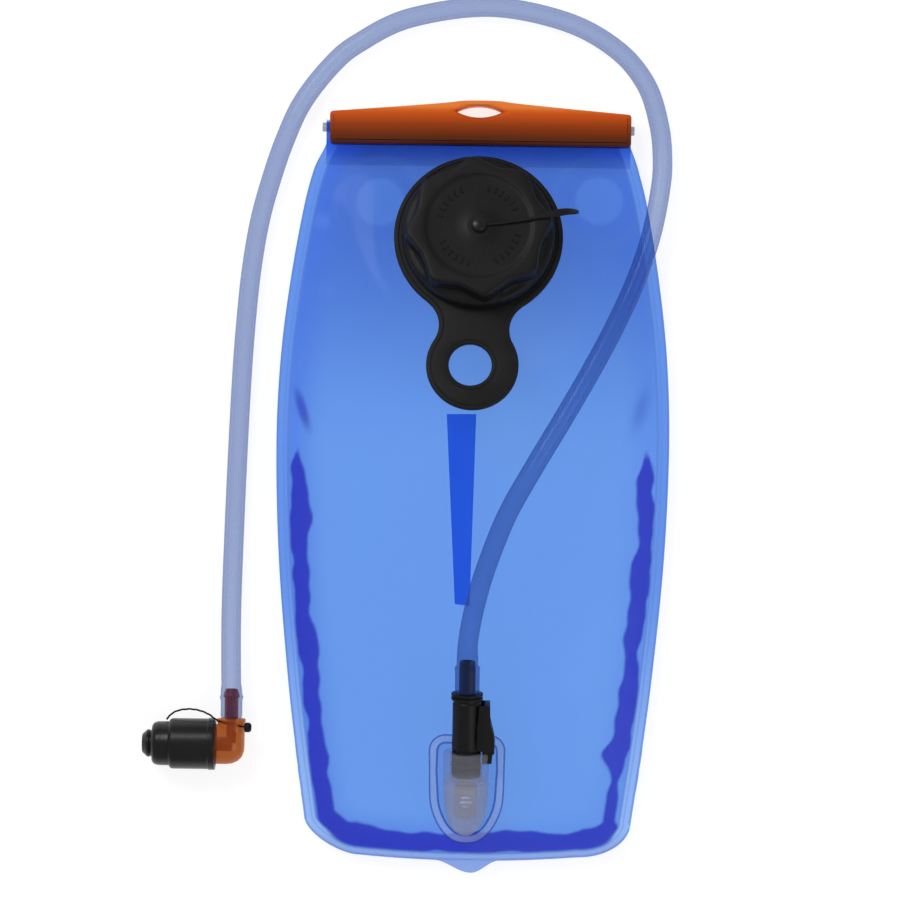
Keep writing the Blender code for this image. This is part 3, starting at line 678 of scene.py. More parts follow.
def plane_height(y, at, tilt):
    """Height of the film where it lies under the flange of a tilted port."""
    lean = math.radians(tilt)
    return at[2] - 0.5 / math.cos(lean) + (y - at[1]) * math.tan(lean)


def across_bag(x, y):
    """0 on the bag's middle line, 1 at the weld's inner edge."""
    return np.clip(np.abs(x) / (half_width(y) - WELD), 0.0, 1.0)


def hard_share(x, y):
    """1 under the filler's disc and the outlet's flange, 0 away from them."""
    from_disc = np.hypot(x - PORT_AT[0], (y - PORT_AT[1]) / 0.97) - DISC_R
    disc = (1.0 - ramp(from_disc, 7.0, 34.0)) * (y < 161.0)
    beside = np.maximum(np.abs(x - OUTLET_AT[0] - 0.4) - 18.6, 0.0)
    beyond = np.maximum(np.maximum(y + 117.0, -171.2 - y), 0.0)
    flange = 1.0 - ramp(np.hypot(beside, beyond), 5.0, 26.0)
    flange = flange * np.where(y < -171.5, ramp(y, -176.0, -171.5), 1.0)
    return disc, flange


def front_height(x, y):
    above = 1.0 - np.clip(y / 160.0, 0, 1) ** 2.4
    below = 1.0 - np.clip(-y / 172.0, 0, 1) ** 3.2
    bulge = (1.0 - across_bag(x, y) ** 2.6) * np.where(y > 0, above, below)
    height = seam_height(y) + 0.35 + PUFF * bulge
    disc, flange = hard_share(x, y)
    height = height + (plane_height(y, PORT_AT, PORT_TILT) - height) * disc
    return height + (plane_height(y, OUTLET_AT, OUTLET_TILT) - height) * flange


def back_height(x, y):
    rise = seam_height(y) - 0.35 - 0.2
    along = np.where(y > 0, 1.0 - ramp(y, 70.0, 152.0), 1.0 - np.clip(-y / 172.0, 0, 1) ** 9)
    return 0.2 + rise * (1.0 - (1.0 - across_bag(x, y) ** 8) * along)


# ---------------- the bag's films


def outline_points():
    """The bag's edge, without the tab, from the upper left round to the upper right."""
    ys = np.arange(HALF_TOP, CORNER_Y, -1.0)
    xs = np.linspace(-CORNER_HALF, CORNER_HALF, 240)
    left = np.stack([-half_width(ys), ys], 1)
    low = np.stack([xs, bottom_edge(xs, 0.0)], 1)
    right = left[::-1] * (-1.0, 1.0)
    return np.concatenate([left, low, right])


def edge_distance(x, y, outline):
    """How far inside the edge each point is, and where along the edge it is nearest."""
    flat = np.stack([x.ravel(), y.ravel()], 1)
    along = np.concatenate([[0.0], np.cumsum(np.hypot(*np.diff(outline, axis=0).T))])
    far = np.empty(len(flat))
    place = np.empty(len(flat))
    batch = 4000
    for start in range(0, len(flat), batch):
        part = flat[start:start + batch]
        gaps = np.hypot(part[:, None, 0] - outline[None, :, 0],
                        part[:, None, 1] - outline[None, :, 1])
        near = gaps.argmin(1)
        far[start:start + batch] = gaps[np.arange(len(part)), near]
        place[start:start + batch] = along[near]
    return far.reshape(x.shape), place.reshape(x.shape)


def wander(place, seed, lengths, weights):
    """Smooth irregular wave along the edge."""
    phases = np.random.default_rng(seed).uniform(0, 2 * np.pi, len(lengths))
    total = sum(w * np.sin(2 * np.pi * place / length + p)
                for length, w, p in zip(lengths, weights, phases))
    return total / sum(weights)


def film_grid():
    """Columns that lie closer at the sides, over rows from the bottom edge to the bar."""
    s = np.linspace(-1.0, 1.0, GRID_COLUMNS)
    u = s * (1.5 - 0.5 * s * s)
    rows = np.concatenate([np.arange(LOWEST_ROW, COARSE_FROM, 0.5),
                           np.arange(COARSE_FROM, HALF_TOP, 1.5), [HALF_TOP]])
    ease = 1.0 - ramp(rows, LOWEST_ROW, -112.0)
    y = rows[:, None] + (bottom_edge(u * CORNER_HALF)[None, :] - LOWEST_ROW) * ease[:, None]
    x = u[None, :] * half_width(y)
    return u, x, y


def smooth_noise(x, y, scale, seed):
    out = np.empty(x.shape)
    for index in np.ndindex(x.shape):
        spot = Vector((x[index] / scale, y[index] / scale, seed))
        out[index] = noise.noise(spot)
    return out


def fold_path(radius, offset):
    """Flat (y, height) run of the film over the rail and back down to its cut edge."""
    join_at = RAIL_Y - math.sqrt(radius ** 2 - offset ** 2)
    lean = math.degrees(math.asin(offset / radius))
    path = [(166.5, offset), (join_at, offset)]
    path += arc(RAIL_Y, 0.0, radius, 180 - lean, -180 + lean, 24)[1:]
    path += [(y, -offset) for y in (166.5, 163.0, 160.0, 157.0, 154.0)]
    return path


def fold_band(far, place, x, y, seed):
    """The wavy fold of film just inside the weld, low on both sides and along the bottom."""
    calm = 1.0 - ramp(np.abs(x), 50.0, 62.0) * ramp(-y, 138.0, 150.0)
    middle = 10.6 + 1.3 * calm * wander(place, seed, (83, 37, 19), (1.0, 0.8, 0.5))
    half = 4.5 + 1.5 * calm * wander(place, seed + 1, (61, 29, 13), (1.0, 0.8, 0.5))
    low = ramp(-y, 158.0, 166.0)
    half = half * (1.0 - 0.3 * low) + 2.1 * low
    middle = middle - 2.0 * low
    kink = (x > 0) * hump(y, -127.0, 5.0)
    middle = middle + 3.0 * kink
    half = half + 1.8 * kink - 1.4 * (x > 0) * ramp(-y, 130.0, 140.0) * (1.0 - low)
    half = half * (0.15 + 0.85 * ramp(-y, -20.0, -2.0))
    body = 1.0 - ramp(np.abs(far - middle), half - 0.9, half + 0.6)
    return body * ramp(-y, -20.0, -14.0)


def make_films(mats):
    """Both films: puffed up, dented, puckered along the weld and flat under the two ports."""
    u, x, y = film_grid()
    far, place = edge_distance(x, y, outline_points())
    far = np.where(y < bottom_edge(x, 0.0), 0.0, far)
    disc, flange = hard_share(x, y)
    hard = np.maximum(disc, flange)
    free = ramp(far, WELD - 0.5, WELD + 0.6)
    dents = smooth_noise(x, y, 34.0, 3.0)
    ripple = smooth_noise(x, y * 0.6, 13.0, 8.0)
    band = fold_band(far, place, x, y, 11)
    pucker = wander(place, 5, (31, 17, 47), (1.0, 0.7, 0.8))
    near_edge = free * np.exp(-np.maximum(far - WELD, 0.0) / 14.0)
    front = front_height(x, y)
    wrinkles = 0.55 * (dents + 1.0) * ramp(far, 6, 40) + 0.10 * (ripple + 1.0)
    front = front - (1.0 - hard) * free * wrinkles
    front = front + (1.0 - hard) * near_edge * (0.55 * pucker - 0.35)
    front = front + 1.3 * band * (1.0 - flange)
    front = front - 1.1 * hump(x, 1.0, 5.0) * (1.0 - ramp(np.abs(y + 11.0), 44.0, 60.0))
    beads = hump(far, 1.0, 0.45) + hump(far, WELD, 0.5)
    front = front + 0.22 * beads * (far < WELD + 2.0)
    back = back_height(x, y)
    lift = np.clip(back - 0.2, 0.0, 4.0) / 4.0
    back = back + near_edge * lift * (0.5 * pucker)
    tints = film_colours(x, y, far, band)
    sheets = []
    for name, height, radius, offset, tint in (("film_front", front, 3.4, 1.25, tints[0]),
                                               ("film_back", back, 2.7, 0.55, tints[1])):
        near_bar = ramp(y, 158.5, HALF_TOP)
        height = height * (1 - near_bar) + (BAR_MID_Z + offset) * near_bar
        sheets.append(film_mesh(name, x, y, height, u, fold_path(radius, offset), tint,
                                mats["film"]))
    cut(sheets[0], drum("neck_hole", 27.4, -9, 9, PORT),
        drum("drain", 3.6, -3, 2, OUTLET, at=(0, -5, 0), steps=24))
    give(sheets[0], "film_blue", "bag", "front_film")
    give(sheets[1], "film_blue", "bag", "back_film")


CLEAR_TINT = np.array([0.213, 0.458, 0.91])
TOP_FOLDS_AND_SHADE_TINT = np.array([0.065, 0.175, 0.64])
SIDE_SHADE_TINT = np.array([0.10, 0.25, 0.84])
LINE_TINT = np.array([0.15, 0.29, 0.66])
INDIGO_TINT = np.array([0.009, 0.001, 0.36])
WELD_TINT = np.array([0.18, 0.385, 0.89])
PALE_WELD_TINT = np.array([0.39, 0.62, 1.0])
LOW_WELD_TINT = np.array([0.37, 0.53, 0.88])


def tint_towards(colour, tint, share):
    """Moves the colours towards a tint, in place."""
    colour += (tint - colour) * share[..., None]


def film_colours(x, y, far, band):
    """Colour that white light keeps after both films, each of which has two surfaces. It is
    deeper under the bar, in the folds and along the weld's lines."""
    tints = []
    for side in (0, 1):
        colour = np.broadcast_to(CLEAR_TINT, x.shape + (3,)).copy()
        cloud = 0.5 + 0.5 * smooth_noise(x, y, 55.0, 20.0 + side)
        # Deeper towards the top: partly the gathered film, partly painted shade where the
        # backlight falls off.
        tint_towards(colour, TOP_FOLDS_AND_SHADE_TINT, 0.9 * ramp(y, 10.0, 135.0) * (0.75 + 0.25 * cloud))
        colour *= 1.0 - 0.25 * ramp(y, 148.0, 160.0)[..., None]
        # Painted shade along the bag's sloping sides, stronger on the left side than on the right.
        tint_towards(colour, SIDE_SHADE_TINT, ramp(-far, -24.0, -6.0) * np.where(x < 0, 0.6, 0.3))
        if side == 0:
            for cx, cy in DISC_MARKS:
                away = np.hypot(x - cx, y - cy)
                tint_towards(colour, CLEAR_TINT, 0.6 * (1.0 - ramp(away, 10.5, 12.5)))
                tint_towards(colour, LINE_TINT, 0.55 * hump(away, 21.5, 1.2))
            left_dent = np.hypot((x + 81.9 + 0.3 * (y - 36.3)) / 2.6, (y - 36.3) / 10.0)
            right_dent = np.hypot((x - 80.1 - 0.25 * (y - 38.1)) / 3.6, (y - 38.1) / 11.0)
            dents = hump(left_dent, 0.0, 1.0, 4) + 0.6 * hump(right_dent, 0.0, 1.0)
            tint_towards(colour, INDIGO_TINT, 0.85 * dents)
            tint_towards(colour, INDIGO_TINT, 0.97 * band)
        low = ramp(-y, 164.0, 172.0)
        width = WELD - 2.1 * low
        border = WELD_TINT + (PALE_WELD_TINT - WELD_TINT) * ramp(-y, 30.0, 160.0)[..., None]
        border += (LOW_WELD_TINT - border) * low[..., None]
        tint_towards(colour, border, 1.0 - ramp(far, width - 0.4, width + 0.4))
        lines = hump(far, 0.6, 0.45) + 0.9 * hump(far, width, 0.5) + 0.5 * hump(far, 3.6, 0.4)
        tint_towards(colour, LINE_TINT, np.clip(0.7 * lines, 0, 1))
        tints.append(np.clip(colour, 0.0, 1.0))
    return tints


def film_mesh(name, x, y, z, u, fold, tint, material):
    """Sheet over the grid, with its folded top, given the film's thickness."""
    narrow = 1.0 - (1.0 - FOLD_WIDTH) * ramp(y, 152.0, HALF_TOP)
    rows = [np.stack([x * narrow + FOLD_SHIFT * ramp(y, 150.0, HALF_TOP), y, z], 2)]
    tints = [tint]
    for fy, lift in fold:
        pale = np.ones(3) - (np.ones(3) - FOLD_TINT) * ramp(fy, 153.0, 163.0)
        line = np.stack([FOLD_SHIFT + u * half_width(HALF_TOP) * FOLD_WIDTH,
                         np.full(u.shape, fy), np.full(u.shape, BAR_MID_Z + lift)], 1)
        rows.append(line[None])
        tints.append(np.broadcast_to(pale, (1, len(u), 3)))
    grid = np.concatenate(rows) * MM
    tint = np.concatenate(tints)
    height, width = grid.shape[:2]
    index = np.arange(height * width).reshape(height, width)
    faces = np.stack([index[:-1, :-1], index[:-1, 1:], index[1:, 1:], index[1:, :-1]], 2)
    mesh = bpy.data.meshes.new(name)
    mesh.from_pydata(grid.reshape(-1, 3).tolist(), [], faces.reshape(-1, 4).tolist())
    colours = mesh.attributes.new("film_tint", "FLOAT_COLOR", "POINT")
    flat = np.ones((height * width, 4), np.float32)
    flat[:, :3] = tint.reshape(-1, 3) ** (1 / SURFACES)
    colours.data.foreach_set("color", flat.ravel())
    return thicken(new_object(name, mesh, material, sharp=80), FILM, 0.0)


# ---------------- web, bar and rail


def make_web(mats):
    """Slanting strip welded to both films along its edges."""
    rings = []
    low = 0.9
    for t in np.linspace(0.0, 1.0, 61):
        y = -56.5 + 91.5 * t
        left, right = -7.6 - 5.1 * t, -1.0 + 2.0 * t
        wave = 0.35 * math.sin(y * 0.22) + 0.25 * math.sin(y * 0.53 + 1.0)
        high = float(front_height(np.array(right), np.array(y))) - 2.6
        ring = []
        for k in range(13):
            s = k / 12
            bow = 0.9 * math.sin(math.pi * s) + wave * s * (1 - s) * 3
            ring.append((left + (right - left) * s + bow, y, low + (high - low) * s))
        rings.append(ring)
    web = thicken(skin("web_strip", rings, mats["web"], sharp=80, closed=False), 0.4, -1.0)
    give(web, "film_deep", "bag", "baffle_web")


def make_bar(mats):
    """Slotted bar, highest in its middle over a lens-shaped hanging hole, and its rod."""
    corner = 1.6
    left, right = -70.6 + corner, 73.9 - corner
    low, top = HALF_TOP + corner, 179.6 - corner
    crown = [(41.0, 182.2), (19.0, 184.2), (11.0, 185.2), (2.0, 185.4), (-7.0, 185.2),
             (-15.0, 184.2), (-37.0, 182.2)]
    outline = arc(left, low, corner, 180, 270, 6) + arc(right, low, corner, 270, 360, 6)
    outline += arc(right, top, corner, 0, 88, 6) + smooth_outline(crown)
    outline += arc(left, top, corner, 92, 180, 6)
    lens = []
    for centre_y, start in ((159.2, 61.5), (200.8, 241.5)):
        lens += arc(1.0, centre_y, 23.6, start, start + 57.0, 16)[:-1]
    bar = plate("slide_seal_bar", [outline, lens], 0.0, 2 * BAR_MID_Z, mats["bar"], soft=2.0,
                fine=5, sharp=50)
    middle = (0, RAIL_Y, BAR_MID_Z)
    slot = ((-90, HALF_TOP - 4, BAR_MID_Z - 1.75), (90, RAIL_Y, BAR_MID_Z + 1.75))
    cut(bar, drum("bore", 3.9, -90, 90, WORLD, "X", middle, 40), blocks("slot", [slot]))
    give(bar, "orange", "bar", "slide_bar")
    rail = turned("rail_rod", [(0, -74.2), (2.2, -74.2), (2.2, 75.6), (0, 75.6)], mats["frosted"],
                  axis="X", at=middle, steps=32, soft=0.5)
    give(rail, "frosted", "bag", "seal_rail")


# ---------------- filler port and cap

LOOP_AT = (-1.0, -63.4)
THREAD_PITCH = 5.0
HANDLE = PORT @ Matrix.Rotation(math.radians(-2.0), 4, "Z")


def handle_outline(inset=0.0):
    """Disc and finger loop, joined by hollow curves."""
    side_x, side_y, fillet = 30.75, -44.9, 14.0 + inset
    reach = LOOP_AT[1]
    to_disc = math.degrees(math.atan2(side_y, side_x))
    to_loop = math.degrees(math.atan2(side_y - reach, side_x))
    right = arc(side_x, side_y, fillet, 180 + to_disc, 180 + to_loop, 14)[1:-1]
    outline = arc(0, 0, DISC_R - inset, 180 - to_disc, to_disc, 90) + right
    outline += arc(0, reach, 21.9 - inset, to_loop, -180 - to_loop, 40)
    return outline + [(-x, y) for x, y in reversed(right)]


def ring_points(at, radius, count):
    return arc(*at, radius, 0, 360, count)[:-1]


def make_filler_port(mats):
    soft_black = mats["black_soft"]
    holes = [ring_points((0, 0), 27.3, 96), ring_points(LOOP_AT, 10.2, 56)]
    handle = plate("disc_and_loop", [handle_outline(), *holes], 0.0, 3.0, soft_black, HANDLE,
                   soft=0.8, fine=3)
    edge = ridge_line("disc_bead", handle_outline(2.0), 3.0, 0.42, soft_black, HANDLE)
    around = ridge_line("loop_bead", ring_points(LOOP_AT, 12.0, 64), 3.0, 0.42, soft_black, HANDLE)
    whole = merge("disc_and_finger_loop", [handle, edge, around], soft_black)
    give(whole, "black", "bag", "port_handle")
    thread = helix_ridge("neck_thread_ridge", 26.9, 1.25, 7.2, 1.25, mats["frosted"])
    profile = [(24.8, -2.2), (37.0, -2.2), (37.0, -1.1), (27.0, -1.0), (27.0, 14.5),
               (24.8, 14.5)]
    neck = turned("neck_tube", profile, mats["frosted"], PORT, steps=120, soft=0.5)
    give(merge("filler_neck", [neck, thread], mats["frosted"]), "frosted", "bag", "port_neck")
    ring = turned("strap_ring", [(27.35, 3.4), (30.2, 3.4), (30.2, 4.8), (27.35, 4.8)],
                  mats["black"], PORT, steps=96, soft=0.4)
    give(ring, "black", "bag", "tether_ring")


def ridge_line(name, outline, height, radius, material, matrix):
    """Round bead lying on a flat face along a closed outline."""
    rings = []
    for i, here in enumerate(outline):
        ahead = Vector(outline[(i + 1) % len(outline)]) - Vector(outline[i - 1])
        side = Vector((ahead.y, -ahead.x)).normalized()
        ring = []
        for a in np.linspace(0.0, math.pi, 9):
            flat = Vector(here) + side * (radius * math.cos(a))
            ring.append((*flat, height - 0.05 + radius * math.sin(a)))
        rings.append(ring)
    return skin(name, rings, material, matrix, endless=True)


def helix_ridge(name, radius, depth, start, turns, material):
    """Rounded screw thread on a round wall, standing outwards for a depth above 0."""
    steps = 72
    rings = []
    count = int(turns * steps)
    root = radius - 0.3 * math.copysign(1, depth)
    for i in range(count + 1):
        a = 2 * math.pi * i / steps
        mid = start + THREAD_PITCH * i / steps
        fade = max(min(1.0, i / 9.0, (count - i) / 9.0), 0.1)
        ring = []
        for k in range(9):
            lean = math.pi * k / 8
            r = root + (depth * fade + radius - root) * math.sin(lean) ** 0.7
            ring.append((r * math.cos(a), r * math.sin(a), mid - 1.0 * math.cos(lean)))
        rings.append(ring)
    return skin(name, rings, material, PORT, capped=True)


def star_radius(angle, corner, side):
    """Radius of the eight-pointed grip at an angle in degrees."""
    pitch = 45.0
    t = ((angle - 6.0) / pitch) % 1.0
    dip = 1.0 - abs(2.0 * t - 1.0) ** 1.15
    half = math.radians(pitch / 2)
    flat = corner * math.cos(half) / math.cos(half - math.radians(pitch * t))
    sharpness = min(t, 1.0 - t)
    rounding = 0.6 * math.exp(-(sharpness / 0.035) ** 2)
    return flat - (corner * 0.924 - side) * dip - rounding


def make_cap(mats):
    """One shell from the round skirt through the star-shaped grip to the dished top. Each row
    has its share of the star, its radius (on a full star, how far outside it) and height."""
    rows = [(0.0, 29.2, 5.4), (0.0, 29.9, 5.4), (0.0, 36.0, 5.4), (0.0, 36.5, 5.7),
            (0.0, 36.6, 6.2), (0.0, 36.35, 8.2), (0.0, 36.05, 9.6), (0.0, 35.6, 10.2),
            (0.0, 34.6, 10.7), (0.35, 34.0, 11.0), (0.8, 33.8, 11.2), (1.0, 0.35, 11.7),
            (1.0, 0.1, 12.4), (1.0, 0.0, 14.0), (1.0, -0.1, 18.6), (1.0, -0.25, 19.4),
            (1.0, -0.6, 20.0), (1.0, -1.15, 20.38), (1.0, -1.9, 20.5), (0.7, -3.2, 20.5),
            (0.3, 27.4, 20.5), (0.0, 26.3, 20.5), (0.0, 25.7, 20.38), (0.0, 25.2, 20.1),
            (0.0, 24.6, 19.93), (0.0, 23.4, 19.9), (0.0, 12.0, 19.95), (0.0, 6.5, 19.95),
            (0.0, 6.0, 20.1), (0.0, 5.5, 20.15), (0.0, 2.0, 20.15), (0.0, 1.9, 20.05),
            (0.0, 1.9, 16.9), (0.0, 12.0, 16.9), (0.0, 28.9, 16.9), (0.0, 29.2, 16.5)]

    def lobed(row, angle):
        share, radius, height = rows[row]
        angle = math.degrees(angle)
        star = star_radius(angle, 35.6, 30.8)
        if share == 1.0:
            return star + radius
        if share > 0.0 and height > 15.0:
            return share * (star - 3.2) + (1 - share) * 27.0
        if share > 0.0:
            return share * (star + 0.4) + (1 - share) * radius
        if 6.0 < height < 10.0:
            return radius - 0.16 * (1 - abs(math.sin(math.radians(angle * 24))))
        return radius

    cap = turned("cap_shell", [row[1:] for row in rows], mats["black"], PORT, steps=288, soft=0,
                 shape=lobed, sharp=38)
    thread = helix_ridge("cap_thread_ridge", 29.3, -1.4, 9.7, 0.75, mats["black"])
    whole = merge("filler_cap", [cap, thread, dial_ticks(mats)], mats["black"])
    give(whole, "black", "cap", "screw_cap")


def dial_ticks(mats):
    """Ring of short raised bars of equal length round the dish, with plain gaps."""
    bm = bmesh.new()
    for k in range(36):
        if k % 9 in (0, 1, 8):
            continue
        turn = Matrix.Rotation(math.radians(10.0 * k + 6.0), 4, "Z")
        rings = []
        for half_x, half_y, z in ((1.6, 0.6, 19.8), (1.2, 0.3, 20.35)):
            corners = ((-1, -1), (1, -1), (1, 1), (-1, 1))
            rings.append([bm.verts.new(turn @ (Vector((19.0 + half_x * x, half_y * y, z)) * MM))
                          for x, y in corners])
        loft(bm, rings, capped=True)
    return from_bm("ticks", bm, mats["black"], PORT, sharp=30)


STRAP = [(2.4, 0.2, 20.75), (12.0, 1.2, 20.9), (24.0, 3.2, 21.4), (33.0, 5.2, 21.5),
         (38.0, 6.6, 21.0), (42.5, 7.9, 19.0), (45.6, 9.0, 15.8), (47.0, 9.9, 12.0),
         (46.4, 10.7, 8.4), (44.0, 11.2, 5.6), (40.0, 11.3, 4.3), (35.0, 10.8, 4.1),
         (28.9, 9.2, 4.1)]


def make_button_and_strap(mats):
    profile = [(0, 15.5), (2.5, 15.5), (2.7, 16.0), (2.6, 16.6), (1.6, 16.6), (1.6, 21.6),
               (3.5, 21.6), (3.5, 22.3), (2.9, 22.9), (1.5, 23.3), (0, 23.4)]
    button = turned("cap_button", profile, mats["cover"], PORT, steps=48, soft=0.25)
    give(button, "black", "cap_carrier", "swivel_button")
    line = catmull(STRAP, 8)
    at = lengths_along(line)
    aside = Vector((-0.15, 0.99, 0.0))
    frames = [square_to(ahead_of(line, i), aside) for i in range(len(line))]

    def section(i):
        """Flat and narrow, with a broad tab where the strap turns down."""
        half = 0.6 + 1.2 * math.exp(-((at[i] / at[-1] - 0.5) / 0.12) ** 2)
        for k in range(16):
            c, s = math.cos(2 * math.pi * k / 16), math.sin(2 * math.pi * k / 16)
            yield (math.copysign(abs(c) ** 0.45, c) * half,
                   math.copysign(abs(s) ** 0.55, s) * 0.45)

    strap = swept("strap_run", line, frames, section, mats["black"], PORT)
    eye = turned("strap_eye", [(1.9, 20.3), (3.5, 20.3), (3.5, 21.25), (1.9, 21.25)],
                 mats["black"], PORT, steps=40, soft=0.3)
    whole = merge("cap_strap", [strap, eye], mats["black"])
    give(whole, "black", None, "cap_tether")
    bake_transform(whole)


# ---------------- outlet and connector


def shield_outline(inset=0.0):
    """The outlet's weld flange: square shoulders with round corners, pointed round tail."""
    points = arc(10.7, 19.9, 7.9 - inset, 0, 90, 10) + arc(-9.9, 19.9, 7.9 - inset, 90, 180, 10)
    half = [(18.0, 12), (17.8, -2), (16.8, -9), (14.3, -15.5), (10.8, -20.8), (6.0, -24.6)]
    tail = [(0.4 - x, y) for x, y in half] + [(0.4, -25.8)]
    tail += [(0.4 + x, y) for x, y in reversed(half)]
    centre = Vector((0.4, -2.0))
    for x, y in smooth_outline(tail):
        out = Vector((x, y)) - centre
        out.y *= 0.72
        points.append(tuple(Vector((x, y)) - out.normalized() * inset))
    return points


def make_outlet(mats):
    flange = plate("outlet_weld_flange", [shield_outline(0.3), shield_outline(4.0)], 0.0, 1.3,
                   mats["weld_lip"], OUTLET, soft=0.35)
    line = mats["weld_line"]
    beads = [ridge_line("outer_line", shield_outline(0.3), 1.0, 0.4, line, OUTLET),
             ridge_line("inner_line", shield_outline(4.0), 1.0, 0.5, line, OUTLET)]
    lines = merge("outlet_weld_lines", beads, line)
    pad = plate("outlet_pad", [shield_outline(4.2)], 0.2, 1.5, mats["port_clear"], OUTLET,
                soft=0.35)
    cut(pad, drum("drain", 3.0, -3, 3, OUTLET, at=(0, -5, 0), steps=32))
    for piece in (flange, lines, pad):
        give(piece, "frosted", "bag")
    bullet = [(0, -19.6), (3.0, -19.0), (6.0, -16.6), (8.6, -12.2), (10.1, -6.0), (10.7, 2.0),
              (10.8, 12.0)]
    socket = [(10.85, 18.8), (11.05, 19.2), (11.05, 20.6), (10.4, 21.5), (7.6, 21.5), (7.6, 7.2),
              (3.4, 7.2), (3.4, 5.2), (5.4, 5.2), (5.4, -10.0), (0, -10.0)]
    housing = turned("outlet_housing", bullet + socket, mats["housing"], OUTLET, "Y",
                     (0, 0, AXIS_H), 96, soft=0.35)
    below = ((-30, -40, -12), (30, 40, 1.0))
    notch = ((6.0, 15.6, AXIS_H - 4.0), (16, 24, AXIS_H + 4.0))
    cut(housing, blocks("below", [below], matrix=OUTLET),
        drum("drop", 3.0, -3, AXIS_H, OUTLET, at=(0, -5, 0), steps=32),
        blocks("notch", [notch], matrix=OUTLET))
    give(housing, "frosted", "bag", "outlet_port")


def make_connector(mats):
    black = mats["black"]
    profile = [(2.5, 9.5), (6.5, 9.5), (6.9, 9.9), (6.9, 14.0), (5.5, 14.0), (5.5, 16.4),
               (6.9, 16.4), (6.9, 21.8), (6.4, 22.0), (6.4, 22.4), (6.85, 22.7), (6.95, 26.0),
               (6.8, 30.0), (6.8, 45.2), (6.3, 46.0), (6.3, 47.0), (7.55, 47.0), (7.55, 48.1),
               (6.6, 48.3), (6.6, 48.8), (7.55, 49.0), (7.55, 50.0), (3.9, 50.0), (3.9, 64.0),
               (3.6, 65.4), (2.4, 65.5)]
    body = turned("connector_tube", profile, black, OUTLET, "Y", (0, 0, AXIS_H), soft=0.25)

    def pin_hole():
        return drum("pin_hole", 1.1, -1, 20, OUTLET, at=(9.5, 30.0, 0), steps=24)

    def pocket():
        return drum("pocket", 1.7, 3.6, 9.4, OUTLET, "X", (0, 41.0, AXIS_H), 24)

    def slab(name, outline, low, high, soft):
        """Plate parallel to the bag, its faces given from the connector's axis."""
        return plate(name, [outline], AXIS_H + low, AXIS_H + high, black, OUTLET, soft=soft)

    ear = [(5.2, 26.0), (9.6, 26.5)] + arc(9.5, 30.0, 2.2, -60, 90, 10) + [(5.2, 33.4)]
    ears = [slab("ear", ear, low, low + 1.2, 0.3) for low in (-5.0, 3.8)]
    for piece in ears:
        cut(piece, pin_hole())
    cut(body, pocket())
    give(merge("quick_connector", [body, *ears], black), "black", "hose", "connector_body")
    outline = [(7.6, 16.3), (12.0, 16.3), (12.4, 20.5), (13.3, 21.5), (13.4, 28.0),
               (12.6, 31.5), (11.0, 37.0), (10.8, 45.0), (8.4, 45.0), (8.4, 34.0), (7.3, 31.0),
               (7.3, 22.4), (7.6, 22.0)]
    lever = slab("latch_plate", outline, -3.4, 3.4, 0.5)
    cut(lever, pin_hole(), pocket())
    outline = [(8.6, 34.6), (11.1, 34.6), (11.0, 45.2), (8.6, 45.2)]
    pad = slab("thumb_pad", outline, -6.0, 6.0, 0.4)
    outline = [(4.8, 23.5), (12.9, 21.5), (13.4, 28.0), (12.6, 31.5), (11.2, 37.0),
               (10.9, 45.1), (5.8, 45.1), (4.8, 32.0)]
    cheeks = [slab("cheek", outline, low, low + 1.0, 0.3) for low in (-6.3, 5.3)]
    rows = [37.125 + 1.5 * k for k in range(5)]
    ribs = blocks("latch_ribs", [((10.55, y, AXIS_H - 2.7), (11.05, y + 0.55, AXIS_H + 2.7))
                                 for y in rows], black, OUTLET)
    latch = merge("thumb_latch", [lever, pad, *cheeks, ribs], black)
    give(latch, "black", "latch", "release_latch")
    make_latch_spring(mats)


def make_latch_spring(mats):
    """Small coil between the body's pocket and the latch."""
    points = []
    for i in range(81):
        a = 2 * math.pi * i / 16
        points.append((3.95 + 3.9 * i / 80, 41.0 + 1.05 * math.cos(a),
                       AXIS_H + 1.05 * math.sin(a)))
    spring = cord_mesh("latch_coil", points, 0.2, mats["steel"], OUTLET, 8)
    give(spring, "steel", "hose", "latch_spring")
    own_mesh(spring)


# ---------------- drinking tube

TUBE_BORE = 3.2


def tube_radius(from_collar, from_elbow):
    """Outer radius, swollen where each barb stretches the tube. Lengths in mm."""
    swell = 0.35 + 0.75 * (1 - ramp(from_collar, 11.8, 13.0))
    swell += 0.35 * hump(from_collar, 12.0, 0.6) - 0.35 * ramp(from_collar, 15.0, 24.0)
    swell += 0.45 * (1 - ramp(from_elbow, 12.0, 17.0)) + 0.55 * hump(from_elbow, 9.8, 0.8)
    return TUBE_R + swell


def make_tube(mats):
    line = spaced(catmull(TUBE_ROUTE, 14), 0.0011)
    sides = 40
    frames = untwisted(line, (1.0, 0.0, 0.0))
    at = np.array(lengths_along(line)) / MM
    outer = tube_radius(at, at[-1] - at)
    inner = TUBE_BORE + (outer - TUBE_R) * 0.9
    outer[[0, -1]] -= 0.35
    bm = bmesh.new()
    walls = []
    for radii in (outer, inner):
        wall = []
        for here, (side, up), radius in zip(line, frames, radii):
            ring = []
            for k in range(sides):
                a = 2 * math.pi * k / sides
                out = side * math.cos(a) + up * math.sin(a)
                ring.append(bm.verts.new(here + out * float(radius) * MM))
            wall.append(ring)
        walls.append(wall)
        loft(bm, wall)
    for end in (0, -1):
        loft(bm, [walls[0][end], walls[1][end]])
    tube = from_bm("clear_tube", bm, mats["tube"], sharp=60)
    tube.data.materials.append(mats["bore"])
    wall_faces = (len(line) - 1) * sides
    for face in tube.data.polygons[wall_faces:2 * wall_faces]:
        face.material_index = 1
    give(tube, "tube_blue", "hose", "drinking_tube")
    return tube, line


# ---------------- mouthpiece

VALVE_AT = (0, -12.3, 0)


